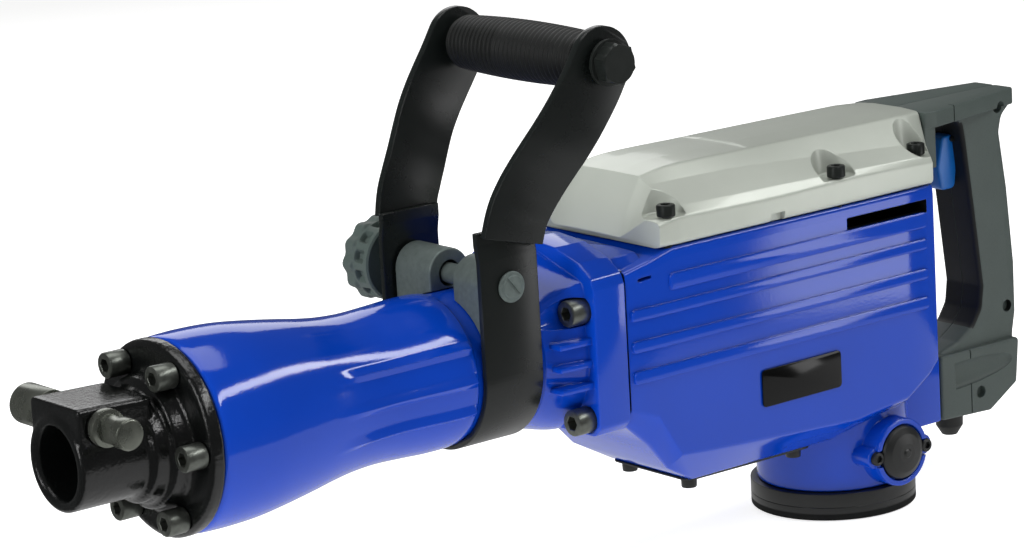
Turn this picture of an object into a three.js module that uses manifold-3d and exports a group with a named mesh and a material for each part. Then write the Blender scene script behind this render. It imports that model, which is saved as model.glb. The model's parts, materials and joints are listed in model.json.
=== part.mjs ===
// Electric demolition hammer, in millimetres, +Z up, tool nose towards -X.
// The helpers work in tool coordinates: x runs rearwards from the front flange, and y = z = 0 is the
// axis of the tool. The part's own origin is the middle of the tail cap's flat underside.
import * as THREE from "three";
import { mergeVertices } from "three/addons/utils/BufferGeometryUtils.js";
import Module from "manifold-3d";

const wasm = await Module();
wasm.setup();

// ---- driving dimensions ----
const GAP = 0.3; // clearance between two pieces that bear on each other
const MOTOR_X = 493; // motor axis, behind the front flange
const AXIS_UP = 145; // tool axis above the tail cap's underside
const FLANGE_R = 55;
const FLANGE_T = 9;
const NOSE_X = -63;
const NOSE_R = 27;
const NOSE_BORE_R = 19.5;
const LEVER_X = -46; // cross pin of the tool retainer
const LEVER_Z = 21.5;
const LEVER_R = 8;
const FRONT_BOLT_PCR = 46;
const CASE_BORE_R = 33;
const CASE_REAR = 286; // joint face between cylinder case and main housing
const BLOCK_FRONT = 262;
const HALF_W = 58; // half width of the main housing
const BAND_X = 211;
const BAND_W = 41;
const BAND_R = 43.2; // inner radius of the clamp band
const BAND_SEAT_R = 42.8;
const BAND_T = 4;
const CLAMP_Z = 51; // cross bolt of the clamp band
const ARM_W = 42;
const ARM_T = 5;
const GRIP_X = 270;
const GRIP_Z = 171;
const GRIP_HALF = 57;
const LINER_R = 32.7;
const PISTON_R = 27;
const CRANK_X = 396;
const CRANK_R = 26;
const ROD_LEN = 98;
const CRANK_PHASE = Math.PI / 2; // crank pin stands at mid stroke
const IDLER_X = 457;
const PINION_TEETH = 11;
const IDLER_BIG_TEETH = 37;
const IDLER_SMALL_TEETH = 14;
const CRANK_TEETH = 47;
const FAST_MODULE = 1.5;
const SLOW_MODULE = 2;
const MOTOR_CAVITY_R = 43.3;
const TAIL_R = 51.3;
const SPLIT_Z = 54.6; // joint face under the silver top cover
const HANDLE_SPLIT = 0.2;
const ROUNDNESS = 0.5; // share of the chords a turned piece asks for

const DEG = Math.PI / 180;

// ---- solids ----
function solid(geometry) {
  const flat = geometry.index ? geometry.toNonIndexed() : geometry;
  const bare = new THREE.BufferGeometry();
  bare.setAttribute("position", flat.getAttribute("position"));
  const merged = mergeVertices(bare, 1e-4);
  const src = merged.index.array;
  const tri = [];
  for (let i = 0; i < src.length; i += 3) {
    const [a, b, c] = [src[i], src[i + 1], src[i + 2]];
    if (a !== b && b !== c && a !== c) tri.push(a, b, c);
  }
  const vertProperties = merged.getAttribute("position").array;
  const make = (t) =>
    new wasm.Manifold(
      new wasm.Mesh({ numProp: 3, vertProperties, triVerts: new Uint32Array(t) }),
    );
  const made = make(tri);
  if (made.volume() > 0) return made;
  const turned = [];
  for (let i = 0; i < tri.length; i += 3) turned.push(tri[i], tri[i + 2], tri[i + 1]);
  return make(turned);
}

const join = (...parts) => wasm.Manifold.union(parts.flat());
const cut = (body, ...tools) => body.subtract(join(...tools));
const both = (make) => join(make(-1), make(1));

function box(x0, x1, y0, y1, z0, z1) {
  const g = new THREE.BoxGeometry(x1 - x0, y1 - y0, z1 - z0);
  return solid(g.translate((x0 + x1) / 2, (y0 + y1) / 2, (z0 + z1) / 2));
}

// Turns a shape drawn in (first, second) and grown along the named axis into the tool's axes.
const AXES = {
  x: new THREE.Matrix4().set(0, 0, 1, 0, 1, 0, 0, 0, 0, 1, 0, 0, 0, 0, 0, 1),
  y: new THREE.Matrix4().set(1, 0, 0, 0, 0, 0, 1, 0, 0, 1, 0, 0, 0, 0, 0, 1),
  z: new THREE.Matrix4(),
};

// A polygon pushed from `from` to `to` along an axis; along x it is drawn in (y, z), along y in (x, z).
function prism(axis, points, from, to, bevel = 0) {
  const shape = new THREE.Shape(points.map(([a, b]) => new THREE.Vector2(a, b)));
  const g = new THREE.ExtrudeGeometry(shape, {
    depth: to - from - 2 * bevel,
    bevelEnabled: bevel > 0,
    bevelThickness: bevel,
    bevelSize: bevel,
    bevelOffset: -bevel,
    bevelSegments: 1,
    steps: 1,
  });
  g.translate(0, 0, from + bevel);
  return solid(g.applyMatrix4(AXES[axis]));
}

// A turned piece: the profile is a list of (station along the axis, radius), closed on itself.
function turned(axis, profile, segments = 48, centre = [0, 0]) {
  const pts = profile.map(([s, r]) => new THREE.Vector2(r, s));
  pts.push(pts[0].clone());
  const g = new THREE.LatheGeometry(pts, 4 * Math.round((segments * ROUNDNESS) / 4));
  g.rotateX(Math.PI / 2); // the lathe turns about Y; this stands it along Z
  g.applyMatrix4(AXES[axis]);
  const [a, b] = centre;
  if (axis === "x") g.translate(0, a, b);
  if (axis === "y") g.translate(a, 0, b);
  if (axis === "z") g.translate(a, b, 0);
  return solid(g);
}

function rod(axis, centre, r, from, to, segments = 32) {
  return turned(axis, [[from, 0], [from, r], [to, r], [to, 0]], segments, centre);
}

function tube(axis, centre, rIn, rOut, from, to, segments = 48) {
  const p = [[from, rIn], [from, rOut], [to, rOut], [to, rIn]];
  return turned(axis, p, segments, centre);
}

// A skin over rings of points, one ring per station, each with the same number of points. An end
// is closed by a fan from its first point, which has to see the whole ring.
function loft(rings) {
  const n = rings[0].length;
  const last = (rings.length - 1) * n;
  const index = [];
  for (let i = 0; i < last; i += n)
    for (let j = 0; j < n; j++) {
      const [a, b] = [i + j, i + ((j + 1) % n)];
      index.push(a, b, a + n, b, b + n, a + n);
    }
  for (let j = 1; j < n - 1; j++) index.push(0, j + 1, j, last, last + j, last + j + 1);
  const g = new THREE.BufferGeometry();
  const pos = new Float32Array(rings.flat().flat());
  g.setAttribute("position", new THREE.BufferAttribute(pos, 3));
  g.setIndex(index);
  return solid(g);
}

const circle = (r, n, a0 = 0) =>
  Array.from({ length: n }, (_, i) => {
    const t = a0 + (2 * Math.PI * i) / n;
    return [r * Math.cos(t), r * Math.sin(t)];
  });

// A polygon with its corners rounded to the radius r, by `steps` chords each.
function rounded(points, r, steps = 3) {
  const out = [];
  const n = points.length;
  points.forEach((p, i) => {
    const [a, b] = [points[(i + n - 1) % n], points[(i + 1) % n]];
    const v = new THREE.Vector2(...p);
    const ta = new THREE.Vector2(...a).sub(v);
    const tb = new THREE.Vector2(...b).sub(v);
    const most = 0.45 * Math.min(ta.length(), tb.length());
    ta.normalize();
    tb.normalize();
    const half = Math.acos(THREE.MathUtils.clamp(ta.dot(tb), -1, 1)) / 2;
    if (Math.PI / 2 - half < 0.06) {
      out.push(p);
      return;
    }
    const d = Math.min(most, r / Math.tan(half));
    const [s, e] = [v.clone().addScaledVector(ta, d), v.clone().addScaledVector(tb, d)];
    for (let k = 0; k <= steps; k++) {
      const t = k / steps;
      const q = s.clone().multiplyScalar((1 - t) * (1 - t));
      q.addScaledVector(v, 2 * t * (1 - t)).addScaledVector(e, t * t);
      out.push([q.x, q.y]);
    }
  });
  return out;
}

const mirrorY = (points) => [...points, ...points.slice().reverse().map(([y, z]) => [-y, z])];

// ---- materials ----
const paint = {
  blue: { color: 0x0b3fc6, roughness: 0.25, metalness: 0.1 },
  silver: { color: 0xc9cec6, roughness: 0.45, metalness: 0.4 },
  black: { color: 0x151515, roughness: 0.35, metalness: 0.3 },
  oxide: { color: 0x2b2c2c, roughness: 0.5, metalness: 0.7 },
  plastic: { color: 0x49524f, roughness: 0.75, metalness: 0 },
  rubber: { color: 0x1a1c1c, roughness: 0.9, metalness: 0 },
  zinc: { color: 0x8d9590, roughness: 0.5, metalness: 0.8 },
  steel: { color: 0xb9bcbd, roughness: 0.3, metalness: 0.95 },
  copper: { color: 0xb2703f, roughness: 0.4, metalness: 0.8 },
  carbon: { color: 0x2a2a2c, roughness: 0.8, metalness: 0 },
  azure: { color: 0x1e86d2, roughness: 0.45, metalness: 0 },
};

const root = new THREE.Group();

function node(name, body, look) {
  const m = body.getMesh();
  const pos = new Float32Array(m.numVert * 3);
  for (let i = 0; i < m.numVert; i++)
    pos.set(m.vertProperties.subarray(i * m.numProp, i * m.numProp + 3), i * 3);
  const g = new THREE.BufferGeometry();
  g.setAttribute("position", new THREE.BufferAttribute(pos, 3));
  g.setIndex(new THREE.BufferAttribute(new Uint32Array(m.triVerts), 1));
  g.translate(-MOTOR_X, 0, AXIS_UP);
  const flat = g.toNonIndexed();
  flat.computeVertexNormals();
  const mesh = new THREE.Mesh(flat, new THREE.MeshStandardMaterial(paint[look]));
  mesh.name = name;
  root.add(mesh);
}

// A socket screw along x: the head's front face at x, the shank running rearwards.
function socketScrewX(x, y, z, headR, headL, shankR, shankL) {
  const body = turned(
    "x",
    [
      [x, 0], [x, headR - 0.8], [x + 0.8, headR], [x + headL, headR],
      [x + headL, shankR], [x + headL + shankL, shankR], [x + headL + shankL, 0],
    ],
    24,
    [y, z],
  );
  const key = prism("x", circle(headR * 0.55, 6), x - 1, x + headL * 0.6);
  return cut(body, key.translate([0, y, z]));
}

// ---- front end ----
function frontCover() {
  const shell = turned(
    "x",
    [
      [NOSE_X, NOSE_BORE_R + 1.5], [NOSE_X, NOSE_R - 2], [NOSE_X + 2, NOSE_R],
      [-21, NOSE_R], [-19, NOSE_R + 4], [-12, NOSE_R + 5], [-10, 36], [-1.5, 38],
      [0, 39.5], [0, FLANGE_R - 2], [2, FLANGE_R], [FLANGE_T, FLANGE_R],
      [FLANGE_T, 28.5], [-6, 28.5], [-6, NOSE_BORE_R], [NOSE_X + 2, NOSE_BORE_R],
    ],
    56,
  );
  const boss = prism(
    "x",
    rounded([[-24.5, 0], [24.5, 0], [24.5, 33.5], [-24.5, 33.5]], 3, 2),
    NOSE_X + 2,
    -14,
    1.5,
  );
  const bossOnly = cut(boss, rod("x", [0, 0], NOSE_BORE_R + 3, NOSE_X, -10, 48));
  const holes = Array.from({ length: 6 }, (_, i) => {
    const [y, z] = [60 * i].map((a) => [
      FRONT_BOLT_PCR * Math.cos(a * DEG),
      FRONT_BOLT_PCR * Math.sin(a * DEG),
    ])[0];
    return rod("x", [y, z], 4.3, -5, FLANGE_T + 5, 16);
  });
  const spots = Array.from({ length: 6 }, (_, i) => {
    const y = FRONT_BOLT_PCR * Math.cos(60 * i * DEG);
    const z = FRONT_BOLT_PCR * Math.sin(60 * i * DEG);
    return rod("x", [y, z], 8.3, -16, 0, 20);
  });
  const lever = rod("y", [LEVER_X, LEVER_Z], LEVER_R + GAP, -40, 40, 32);
  return cut(join(shell, bossOnly), holes, spots, lever);
}

function stopLever() {
  const pin = turned(
    "y",
    [
      [-51, 0], [-51, 7.6], [-50, 8.6], [-43, 8.6], [-43, 6.6], [-30.4, 6.6], [-30.4, 10.6],
      [-25.4, 10.6], [-25.4, LEVER_R], [25.4, LEVER_R], [25.4, 11.6], [51, 11.6],
      [53, 9.6], [53, 0],
    ],
    32,
    [LEVER_X, LEVER_Z],
  );
  const scoop = rod("x", [0, 2 * LEVER_Z], NOSE_BORE_R + 0.5, LEVER_X - 12, LEVER_X + 12, 32);
  const flat = box(LEVER_X - 12, LEVER_X + 12, -43, -30.6, LEVER_Z + 5, LEVER_Z + 12);
  const flatLow = box(LEVER_X - 12, LEVER_X + 12, -43, -30.6, LEVER_Z - 12, LEVER_Z - 5);
  return cut(pin, scoop, flat, flatLow);
}

function toolHolder() {
  const sleeve = turned(
    "x",
    [
      [-5.7, 15], [-5.7, 28.2], [9.3, 28.2], [9.3, LINER_R], [129.6, LINER_R], [129.6, 15.6],
      [66, 15.6], [66, 15],
    ],
    40,
  );
  const hex = prism("x", circle(15.4 / Math.cos(30 * DEG), 6), -20, 22);
  return cut(sleeve, hex);
}

// ---- cylinder case ----
const blockOutline = mirrorY([
  [0, -47], [51, -47], [57, -41], [57.5, 40], [55, 46], [44, 54], [24, 60.5], [0, 63],
]).filter(([y], i, all) => !(y === 0 && i > 0 && i < all.length && all[i - 1][0] === 0));

function cylinderCase() {
  const barrel = turned(
    "x",
    [
      [9.3, CASE_BORE_R], [9.3, 53.2], [11, 54.6], [30, 55.4], [48, 54.6], [66, 52.4],
      [86, 49.2], [104, 46], [118, 44.2], [134, 43.4], [152, 44], [168, 45], [181, 45],
      [186.5, 44.2], [189, BAND_SEAT_R], [233, BAND_SEAT_R], [235, 44.2], [248, 47],
      [264, 51], [CASE_REAR - 4, 51], [CASE_REAR - 4, CASE_BORE_R],
    ],
    60,
  );
  const block = prism("x", blockOutline, BLOCK_FRONT, CASE_REAR - GAP, 1.2);
  const crown = loft([
    [[0, 40], [30, 35], [40, 20], [-40, 20], [-30, 35]].map(([y, z]) => [236, y, z]),
    [[0, 62], [43, 52], [54, 20], [-54, 20], [-43, 52]].map(([y, z]) => [264, y, z]),
  ]);
  const ribs = [10, -3, -16].map((z) =>
    both((s) => box(238, 263, s < 0 ? -54 : 40, s < 0 ? -40 : 54, z - 2, z + 2)),
  );
  const fins = [25, 1, -22].map((a) =>
    both((s) => {
      const fin = prism("x", [[36, -5.4], [48.9, 0], [36, 7.6]], 0, 98);
      const laid = fin.rotate([0, 0, -1.4]).translate([88, 0, 0]);
      const turn = laid.rotate([a, 0, 0]);
      return s > 0 ? turn : turn.mirror([0, 1, 0]);
    }),
  );
  const bolts = both((s) =>
    join([27, -37].map((z) => rod("x", [s * 46, z], 8.4, 236, BLOCK_FRONT + 1.5, 24))),
  );
  const holes = both((s) =>
    join([27, -37].map((z) => rod("x", [s * 46, z], 4.3, 240, 300, 16))),
  );
  const frontHoles = Array.from({ length: 6 }, (_, i) =>
    rod(
      "x",
      [FRONT_BOLT_PCR * Math.cos(60 * i * DEG), FRONT_BOLT_PCR * Math.sin(60 * i * DEG)],
      4.3, 5, 32, 16,
    ),
  );
  const bore = rod("x", [0, 0], CASE_BORE_R, 5, 300, 48);
  const seat = tube("x", [0, 0], BAND_SEAT_R, 70, 189, 233, 60);
  return cut(join(barrel, block, crown, ribs, fins), bolts, holes, frontHoles, bore, seat);
}

function cylinderLiner() {
  return tube("x", [0, 0], PISTON_R + GAP, LINER_R, 130, 322, 48);
}

// ---- hammer mechanism on the tool axis ----
function impactBolt() {
  const p = [
    [26, 0], [26, 12], [30, 14.5], [58, 14.5], [58, 12], [66, 12], [75, 15.2], [138, 15.2],
    [142, 12], [142, 0],
  ];
  return turned("x", p, 32);
}

function striker() {
  const p = [
    [163, 0], [163, 13], [176, 14], [180, 24], [183, PISTON_R], [214, PISTON_R],
    [217, 25], [217, 0],
  ];
  return cut(turned("x", p, 40), tube("x", [0, 0], 25, 29, 196, 199.5, 40));
}

const pinX = CRANK_X + CRANK_R * Math.cos(CRANK_PHASE);
const pinY = CRANK_R * Math.sin(CRANK_PHASE);
const wristX = pinX - Math.sqrt(ROD_LEN ** 2 - pinY ** 2);

function piston() {
  const p = [
    [wristX - 33, 0], [wristX - 33, 24], [wristX - 31, PISTON_R], [wristX + 17, PISTON_R],
    [wristX + 17, 21], [wristX - 13, 21], [wristX - 13, 0],
  ];
  const ring = tube("x", [0, 0], 25, 29, wristX - 26, wristX - 22.5, 40);
  const bosses = both((s) => {
    const b = rod("z", [wristX, 0], 11, s < 0 ? -24 : 8.5, s < 0 ? -8.5 : 24, 24);
    return b;
  });
  const eye = rod("z", [wristX, 0], 6 + GAP, -30, 30, 24);
  return cut(join(turned("x", p, 40), bosses), ring, eye);
}

function pistonPin() {
  return rod("z", [wristX, 0], 6, -21, 21, 24);
}

function connectingRod() {
  const small = rod("z", [0, 0], 11, -7.5, 7.5, 24);
  const big = rod("z", [ROD_LEN, 0], 15, -7.5, 7.5, 28);
  const web = prism("z", [[6, -7], [ROD_LEN - 10, -8.5], [ROD_LEN - 10, 8.5], [6, 7]], -5, 5);
  const eyes = [rod("z", [0, 0], 6 + GAP, -9, 9, 24), rod("z", [ROD_LEN, 0], 9.3, -9, 9, 24)];
  const angle = Math.atan2(pinY, pinX - wristX) / DEG;
  return cut(join(small, big, web), eyes).rotate([0, 0, angle]).translate([wristX, 0, 0]);
}

// ---- crank and gears, all upright ----
function crankshaft() {
  const disc = turned(
    "z",
    [[9.5, 0], [9.5, 38], [11, 39.5], [15, 39.5], [15, 15], [28.5, 15], [28.5, 10], [57, 10], [57, 0]],
    40,
    [CRANK_X, 0],
  );
  const pin = rod("z", [pinX, pinY], 9, 8, 10.5, 28);
  const weight = prism("z", circle(9, 24).map(([a, b]) => [a + pinX, b + pinY]), 8, 10.5);
  const phase = Math.PI / CRANK_TEETH;
  return join(disc, pin, weight, gear(CRANK_TEETH, SLOW_MODULE, 15, 27, 14, CRANK_X, phase));
}

// A spur gear with plain tapered teeth; a tooth points along `phase`.
function gear(teeth, module, z0, z1, bore, centreX, phase) {
  const r = (teeth * module) / 2;
  const [tip, root0] = [r + 0.9 * module, r - 1.2 * module];
  const pitch = (2 * Math.PI) / teeth;
  const outline = [];
  for (let i = 0; i < teeth; i++) {
    const a = phase + i * pitch;
    const at = (rad, off) => [rad * Math.cos(a + off), rad * Math.sin(a + off)];
    outline.push(at(root0, -0.3 * pitch), at(tip, -0.1 * pitch));
    outline.push(at(tip, 0.1 * pitch), at(root0, 0.3 * pitch));
  }
  const blank = prism("z", outline, z0, z1).translate([centreX, 0, 0]);
  return cut(blank, rod("z", [centreX, 0], bore, z0 - 1, z1 + 1, 28));
}

function idlerGear() {
  const big = gear(IDLER_BIG_TEETH, FAST_MODULE, 30, 40, 5, IDLER_X, 0);
  const small = gear(IDLER_SMALL_TEETH, SLOW_MODULE, 13, 31, 5, IDLER_X, Math.PI);
  const shaft = rod("z", [IDLER_X, 0], 5.1, 2, 54, 24);
  return join(big, small, shaft);
}

function bearingPlate() {
  const outline = rounded([[336, -49], [524, -49], [524, 49], [336, 49]], 8, 3);
  const plate = prism("z", outline, 44, 51);
  const boss = rod("z", [CRANK_X, 0], 24, 39, 45, 40);
  const holes = [
    rod("z", [CRANK_X, 0], 17.5 + GAP, 38, 52, 40),
    rod("z", [IDLER_X, 0], 5.1 + GAP, 38, 60, 24),
    rod("z", [MOTOR_X, 0], 16, 38, 60, 32),
  ];
  return cut(join(plate, boss), holes);
}

// ---- motor ----
function armature() {
  const p = [
    [-118, 0], [-118, 4], [-104, 4], [-104, 5], [-98, 15], [-76, 15], [-74, 6], [-66, 6],
    [-64, 26], [-14, 26], [-12, 6], [-4, 6], [-4, 5], [25, 5], [25, 0],
  ];
  const shaft = turned("z", p, 32, [MOTOR_X, 0]);
  const pinion = gear(PINION_TEETH, FAST_MODULE, 24, 42, 3, MOTOR_X, Math.PI + Math.PI / PINION_TEETH);
  const core = rod("z", [MOTOR_X, 0], 3.2, 20, 42, 20);
  return join(shaft, pinion, core);
}

function fan() {
  const hub = rod("z", [MOTOR_X, 0], 12, -11, -5, 32);
  const disc = rod("z", [MOTOR_X, 0], 36, -6.5, -5, 48);
  const blades = Array.from({ length: 9 }, (_, i) =>
    box(11, 35, -1, 1, -11.5, -6).rotate([0, 0, 40 * i]).translate([MOTOR_X, 0, 0]),
  );
  return cut(join(hub, disc, blades), rod("z", [MOTOR_X, 0], 6.3, -20, 0, 24));
}

function stator() {
  const ring = tube("z", [MOTOR_X, 0], 36, MOTOR_CAVITY_R - GAP, -62, -16, 48);
  const poles = both((s) => {
    const p = box(MOTOR_X - 22, MOTOR_X + 22, s < 0 ? -40 : 20, s < 0 ? -20 : 40, -62, -16);
    return p;
  });
  const round = rod("z", [MOTOR_X, 0], MOTOR_CAVITY_R - GAP, -62, -16, 48);
  return cut(join(ring, poles.intersect(round)), rod("z", [MOTOR_X, 0], 27, -70, 0, 40));
}

function bearing(z0, z1, rIn, rOut, x) {
  const ring = tube("z", [x, 0], rIn, rOut, z0, z1, 36);
  const [a, b] = [rIn + (rOut - rIn) * 0.3, rIn + (rOut - rIn) * 0.7];
  return cut(ring, tube("z", [x, 0], a, b, z1 - 1, z1 + 1, 36));
}

// ---- main housing ----
function housingRing(x, top, low, wide, mid, bottom, narrow) {
  const half = [[0, bottom], [narrow, bottom], [wide, low], [wide, mid], [wide - 1, top], [0, top]];
  const ring = [...half, ...half.slice(1, -1).reverse().map(([y, z]) => [-y, z])];
  return ring.map(([y, z]) => [x, y, z]);
}

function mainHousing() {
  const T = SPLIT_Z - GAP;
  const shell = loft([
    housingRing(CASE_REAR, 46, -36, 57, 40, -46, 48),
    housingRing(306, 50, -43, HALF_W, 44, -60, 46),
    housingRing(322, T, -68, HALF_W, 48, -75, 41),
    housingRing(345, T, -71, HALF_W, 48, -89, 37),
    housingRing(463, T, -78, HALF_W, 48, -89, 37),
    housingRing(505, T, -74, HALF_W, 48, -84, 40),
    housingRing(524, T, -62, HALF_W, 48, -78, 40),
    housingRing(534, T, -56, HALF_W - 3, 48, -72, 38),
    housingRing(549, T, -52, 34, 48, -66, 30),
  ]);
  const crown = loft([
    [[0, 61], [24, 58.5], [44, 52], [54, 44], [-54, 44], [-44, 52], [-24, 58.5]].map(([y, z]) => [CASE_REAR, y, z]),
    [[0, 54], [24, 54], [44, 53], [55, 44], [-55, 44], [-44, 53], [-24, 54]].map(([y, z]) => [305.4, y, z]),
  ]);
  const ribs = both((s) =>
    join(
      [[318, 524, 30, 39.5], [288, 524, 16.5, 23], [288, 524, -2, 4.5], [288, 524, -20.5, -13]].map(
        ([x0, x1, z0, z1]) => {
          const band = prism("y", rounded([[x0, z0], [x1, z0], [x1, z1], [x0, z1]], 2, 2), 0, 2.3);
          return s < 0 ? band.translate([0, -HALF_W - 1.3, 0]) : band.translate([0, HALF_W - 1, 0]);
        },
      ),
    ),
  );
  const motor = turned(
    "z",
    [[-127.7, 0], [-127.7, 47], [-100, 47.5], [-60, 48.5], [-60, 0]],
    56,
    [MOTOR_X, 0],
  );
  const brushBoss = both((s) => {
    const b = rod("y", [497, -106], 21, s < 0 ? -57 : 20, s < 0 ? -20 : 57, 36);
    return b;
  });
  const tab = box(534, 570, -20.5, 20.5, -109, -67);
  const outer = join(shell, crown, ribs, motor, brushBoss, tab);
  const crankRoom = join(box(301, 446, -46, 46, -36, 12.5), box(354, 440, -30, 30, -95, -35));
  const gearRoom = box(328, 526, -50, 50, 12, 60);
  const nose = box(301, 330, -40, 40, -20, 43);
  const boreFront = rod("x", [0, 0], LINER_R + GAP, 280, 302, 48);
  const field = rod("z", [MOTOR_X, 0], MOTOR_CAVITY_R, -135, 0, 56);
  const shaftHole = rod("z", [MOTOR_X, 0], 14.3, -5, 14, 32);
  const idlerSeat = rod("z", [IDLER_X, 0], 5.1 + GAP, 0, 14, 24);
  const slots = both((s) => box(459, 527, s < 0 ? -62 : 45, s < 0 ? -45 : 62, 38.5, 47));
  const caseBolts = both((s) =>
    join([27, -37].map((z) => rod("x", [s * 46, z], 4.3, 280, 299, 16))),
  );
  const brushHoles = rod("y", [497, -106], 9.3, -70, 70, 24);
  const capSeat = both((s) => rod("y", [497, -106], 17.2, s < 0 ? -60 : 51, s < 0 ? -51 : 60, 36));
  const lowerRoom = rod("z", [MOTOR_X, 0], 12.3, -135, -100, 24);
  const coverBolts = both((s) =>
    join([[322, 0], [456, 0], [531, -9]].map(([x, dy]) => rod("z", [x, s * (53.5 + dy)], 2.9, 45.5, 60, 16))),
  );
  const air = [-12, 0, 12].map((y) => box(540, 560, y - 3, y + 3, -40, 20));
  const pocket = box(500, 560, -24, 24, -48, 30).subtract(
    rod("z", [MOTOR_X, 0], MOTOR_CAVITY_R + 4, -60, 12, 48),
  );
  return cut(
    outer, crankRoom, gearRoom, nose, boreFront, field, shaftHole, idlerSeat, slots,
    caseBolts, brushHoles, capSeat, lowerRoom, coverBolts, air, pocket,
  );
}

function bottomCover() {
  const outline = rounded([[344, -35], [443, -37], [443, 37], [344, 35]], 5, 3);
  const plate = prism("z", outline, -95, -89.3);
  const heads = both((s) =>
    join([352, 436].map((x) => rod("z", [x, s * 27], 5, -101, -94, 16))),
  );
  return join(plate, heads);
}

function tailCap() {
  return turned(
    "z",
    [
      [-145, 0], [-145, TAIL_R - 2], [-143, TAIL_R], [-128, TAIL_R], [-128, 40], [-134, 40],
      [-134, 9], [-122.5, 9], [-122.5, 7.9], [-139, 7.9], [-139, 0],
    ],
    56,
    [MOTOR_X, 0],
  );
}

function brushCap(s) {
  const p = [[51.3, 0], [51.3, 16.8], [59, 16.8], [61, 15.5], [64, 9], [64.6, 0]];
  const turnedCap = turned("y", p.map(([a, r]) => [s * a, r]), 36, [497, -106]);
  const slot = box(490, 504, s < 0 ? -70 : 62.5, s < 0 ? -62.5 : 70, -107, -105);
  return cut(turnedCap, slot);
}

function carbonBrush(s) {
  const [y0, y1] = s < 0 ? [-44, -15.5] : [15.5, 44];
  return box(493, 501, y0, y1, -110, -94.5 - 7.5);
}

// ---- silver top cover ----
function coverRing(x, c, grow = 0, floor = SPLIT_Z) {
  const [top, edgeY, edgeZ, stepY, stepZ, hipY, hipZ, wide, wideZ] = c;
  const g = grow;
  const half = [
    [wide - g, floor], [wide - g, wideZ - g * 0.4], [hipY - g, hipZ - g * 0.7],
    [stepY - g * 0.8, stepZ - g * 0.9], [edgeY - g * 0.6, edgeZ - g],
  ];
  const ring = [...half, [0, top - g], ...half.slice().reverse().map(([y, z]) => [-y, z])];
  return ring.map(([y, z]) => [x, y, z]);
}

function topCover() {
  const rows = [
    [306, [60, 30, 59.2, 36, 58.6, 48, 58, 56.5, 57]],
    [312, [75, 30, 74, 35, 72, 48, 66, 57.5, 61]],
    [323, [93.4, 30, 92.4, 36, 87.5, 49, 74, HALF_W, 65]],
    [345, [97, 30, 95.2, 37, 87.8, 51, 74, HALF_W, 66]],
    [402, [96.6, 30, 95, 39, 86.8, 52, 73, HALF_W, 66]],
    [470, [96, 30, 94.6, 43, 82.6, 54, 71, HALF_W, 65]],
    [533, [95.6, 29, 94.2, 46, 79, 55, 69, HALF_W - 1, 63]],
    [551.5, [94.6, 27, 93.4, 31, 79, 33, 69, 34.5, 63]],
  ];
  const outer = loft(rows.map(([x, c]) => coverRing(x, c)));
  const inner = loft(
    rows.slice(2, 7).map(([x, c], i, all) => {
      const at = i === 0 ? x + 4 : i === all.length - 1 ? x - 6 : x;
      return coverRing(at, c, 5, SPLIT_Z - 5);
    }),
  );
  const scoops = both((s) =>
    join(
      [[322, 74], [456, 72], [531, 76]].map(([x, z]) =>
        rod("y", [x, z + 8], 12, s < 0 ? -70 : 48.5, s < 0 ? -48.5 : 70, 28),
      ),
    ),
  );
  const seats = both((s) =>
    join(
      [[322, 0], [456, 0], [531, -9]].map(([x, dy]) =>
        rod("z", [x, s * (53.5 + dy)], 9, 72, 110, 24),
      ),
    ),
  );
  const pads = both((s) =>
    join(
      [[322, 0], [456, 0], [531, -9]].map(([x, dy]) => box(x - 8, x + 8, ...(s < 0 ? [-54 - dy, -40] : [40, 54 + dy]), 60, 72)),
    ),
  );
  const holes = both((s) =>
    join(
      [[322, 0], [456, 0], [531, -9]].map(([x, dy]) => rod("z", [x, s * (53.5 + dy)], 2.9, 50, 80, 16)),
    ),
  );
  const notch = both((s) => box(399, 410, s < 0 ? -62 : 54, s < 0 ? -54 : 62, 50, 60));
  const hollow = cut(outer, inner);
  return cut(join(hollow, pads.intersect(outer)), seats, holes, notch);
}

// ---- rear handle, split in the middle plane ----
const handleSide = [
  [562.3, 81.5], [592, 81.5], [598, 77], [600, 66], [606, 20], [612, -30], [610, -44],
  [603, -54], [590, -62], [570.3, -67.3], [570.3, -109], [614, -111], [638, -97],
  [641, -64], [643.5, -52], [643.5, -20], [639, 30], [633.5, 66], [636, 76], [646, 84],
  [646, 90], [643, 93], [562.3, 93],
];

function handleHalf(s) {
  const grip = prism("y", handleSide, HANDLE_SPLIT, 16.5, 0);
  const chamfer = prism("y", handleSide, HANDLE_SPLIT - 4, 16.5, 3.2).intersect(
    box(500, 700, HANDLE_SPLIT, 20, -200, 200),
  );
  const bar = prism("z", [[552, 0], [552, 31], [562, 32.5], [600, 25.5], [645, 17], [646, 15], [646, 0]], 82, 93);
  const block = prism("y", [[552, 57], [562.3, 57], [562.3, 93], [552, 93]], 0, 31);
  const lower = prism(
    "y",
    [[570.3, -109], [614, -111], [638, -97], [641, -68], [570.3, -67.3]],
    0, 20.5, 0,
  );
  const mount = box(549.4, 562.3, 0, 26, 34, 54).add(box(552, 562.3, 0, 26, 50, 81));
  const body = join(chamfer.add(grip.intersect(chamfer)), bar, block, lower, mount);
  const kept = body.intersect(box(500, 700, HANDLE_SPLIT, 60, -200, 200));
  const room = join(
    box(598, 628, -1, 11, 16, 70),
    box(585, 606, -1, 6.9, 32, 70),
    box(606, 622, -1, 11, -90, 18),
    s > 0 ? rod("y", [612, 44], 4.8, 5, 30, 24) : [],
  );
  const screws = [[634, 80.5], [637, -33], [610, -93]].map(([x, z]) =>
    rod("y", [x, z], 4, 13, 30, 20),
  );
  const groove = box(580, 581, 12, 40, 70, 100).add(box(596, 597, 19.6, 30, -120, -60));
  const half = cut(kept, room, screws, groove);
  return s > 0 ? half : half.mirror([0, 1, 0]);
}

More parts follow.
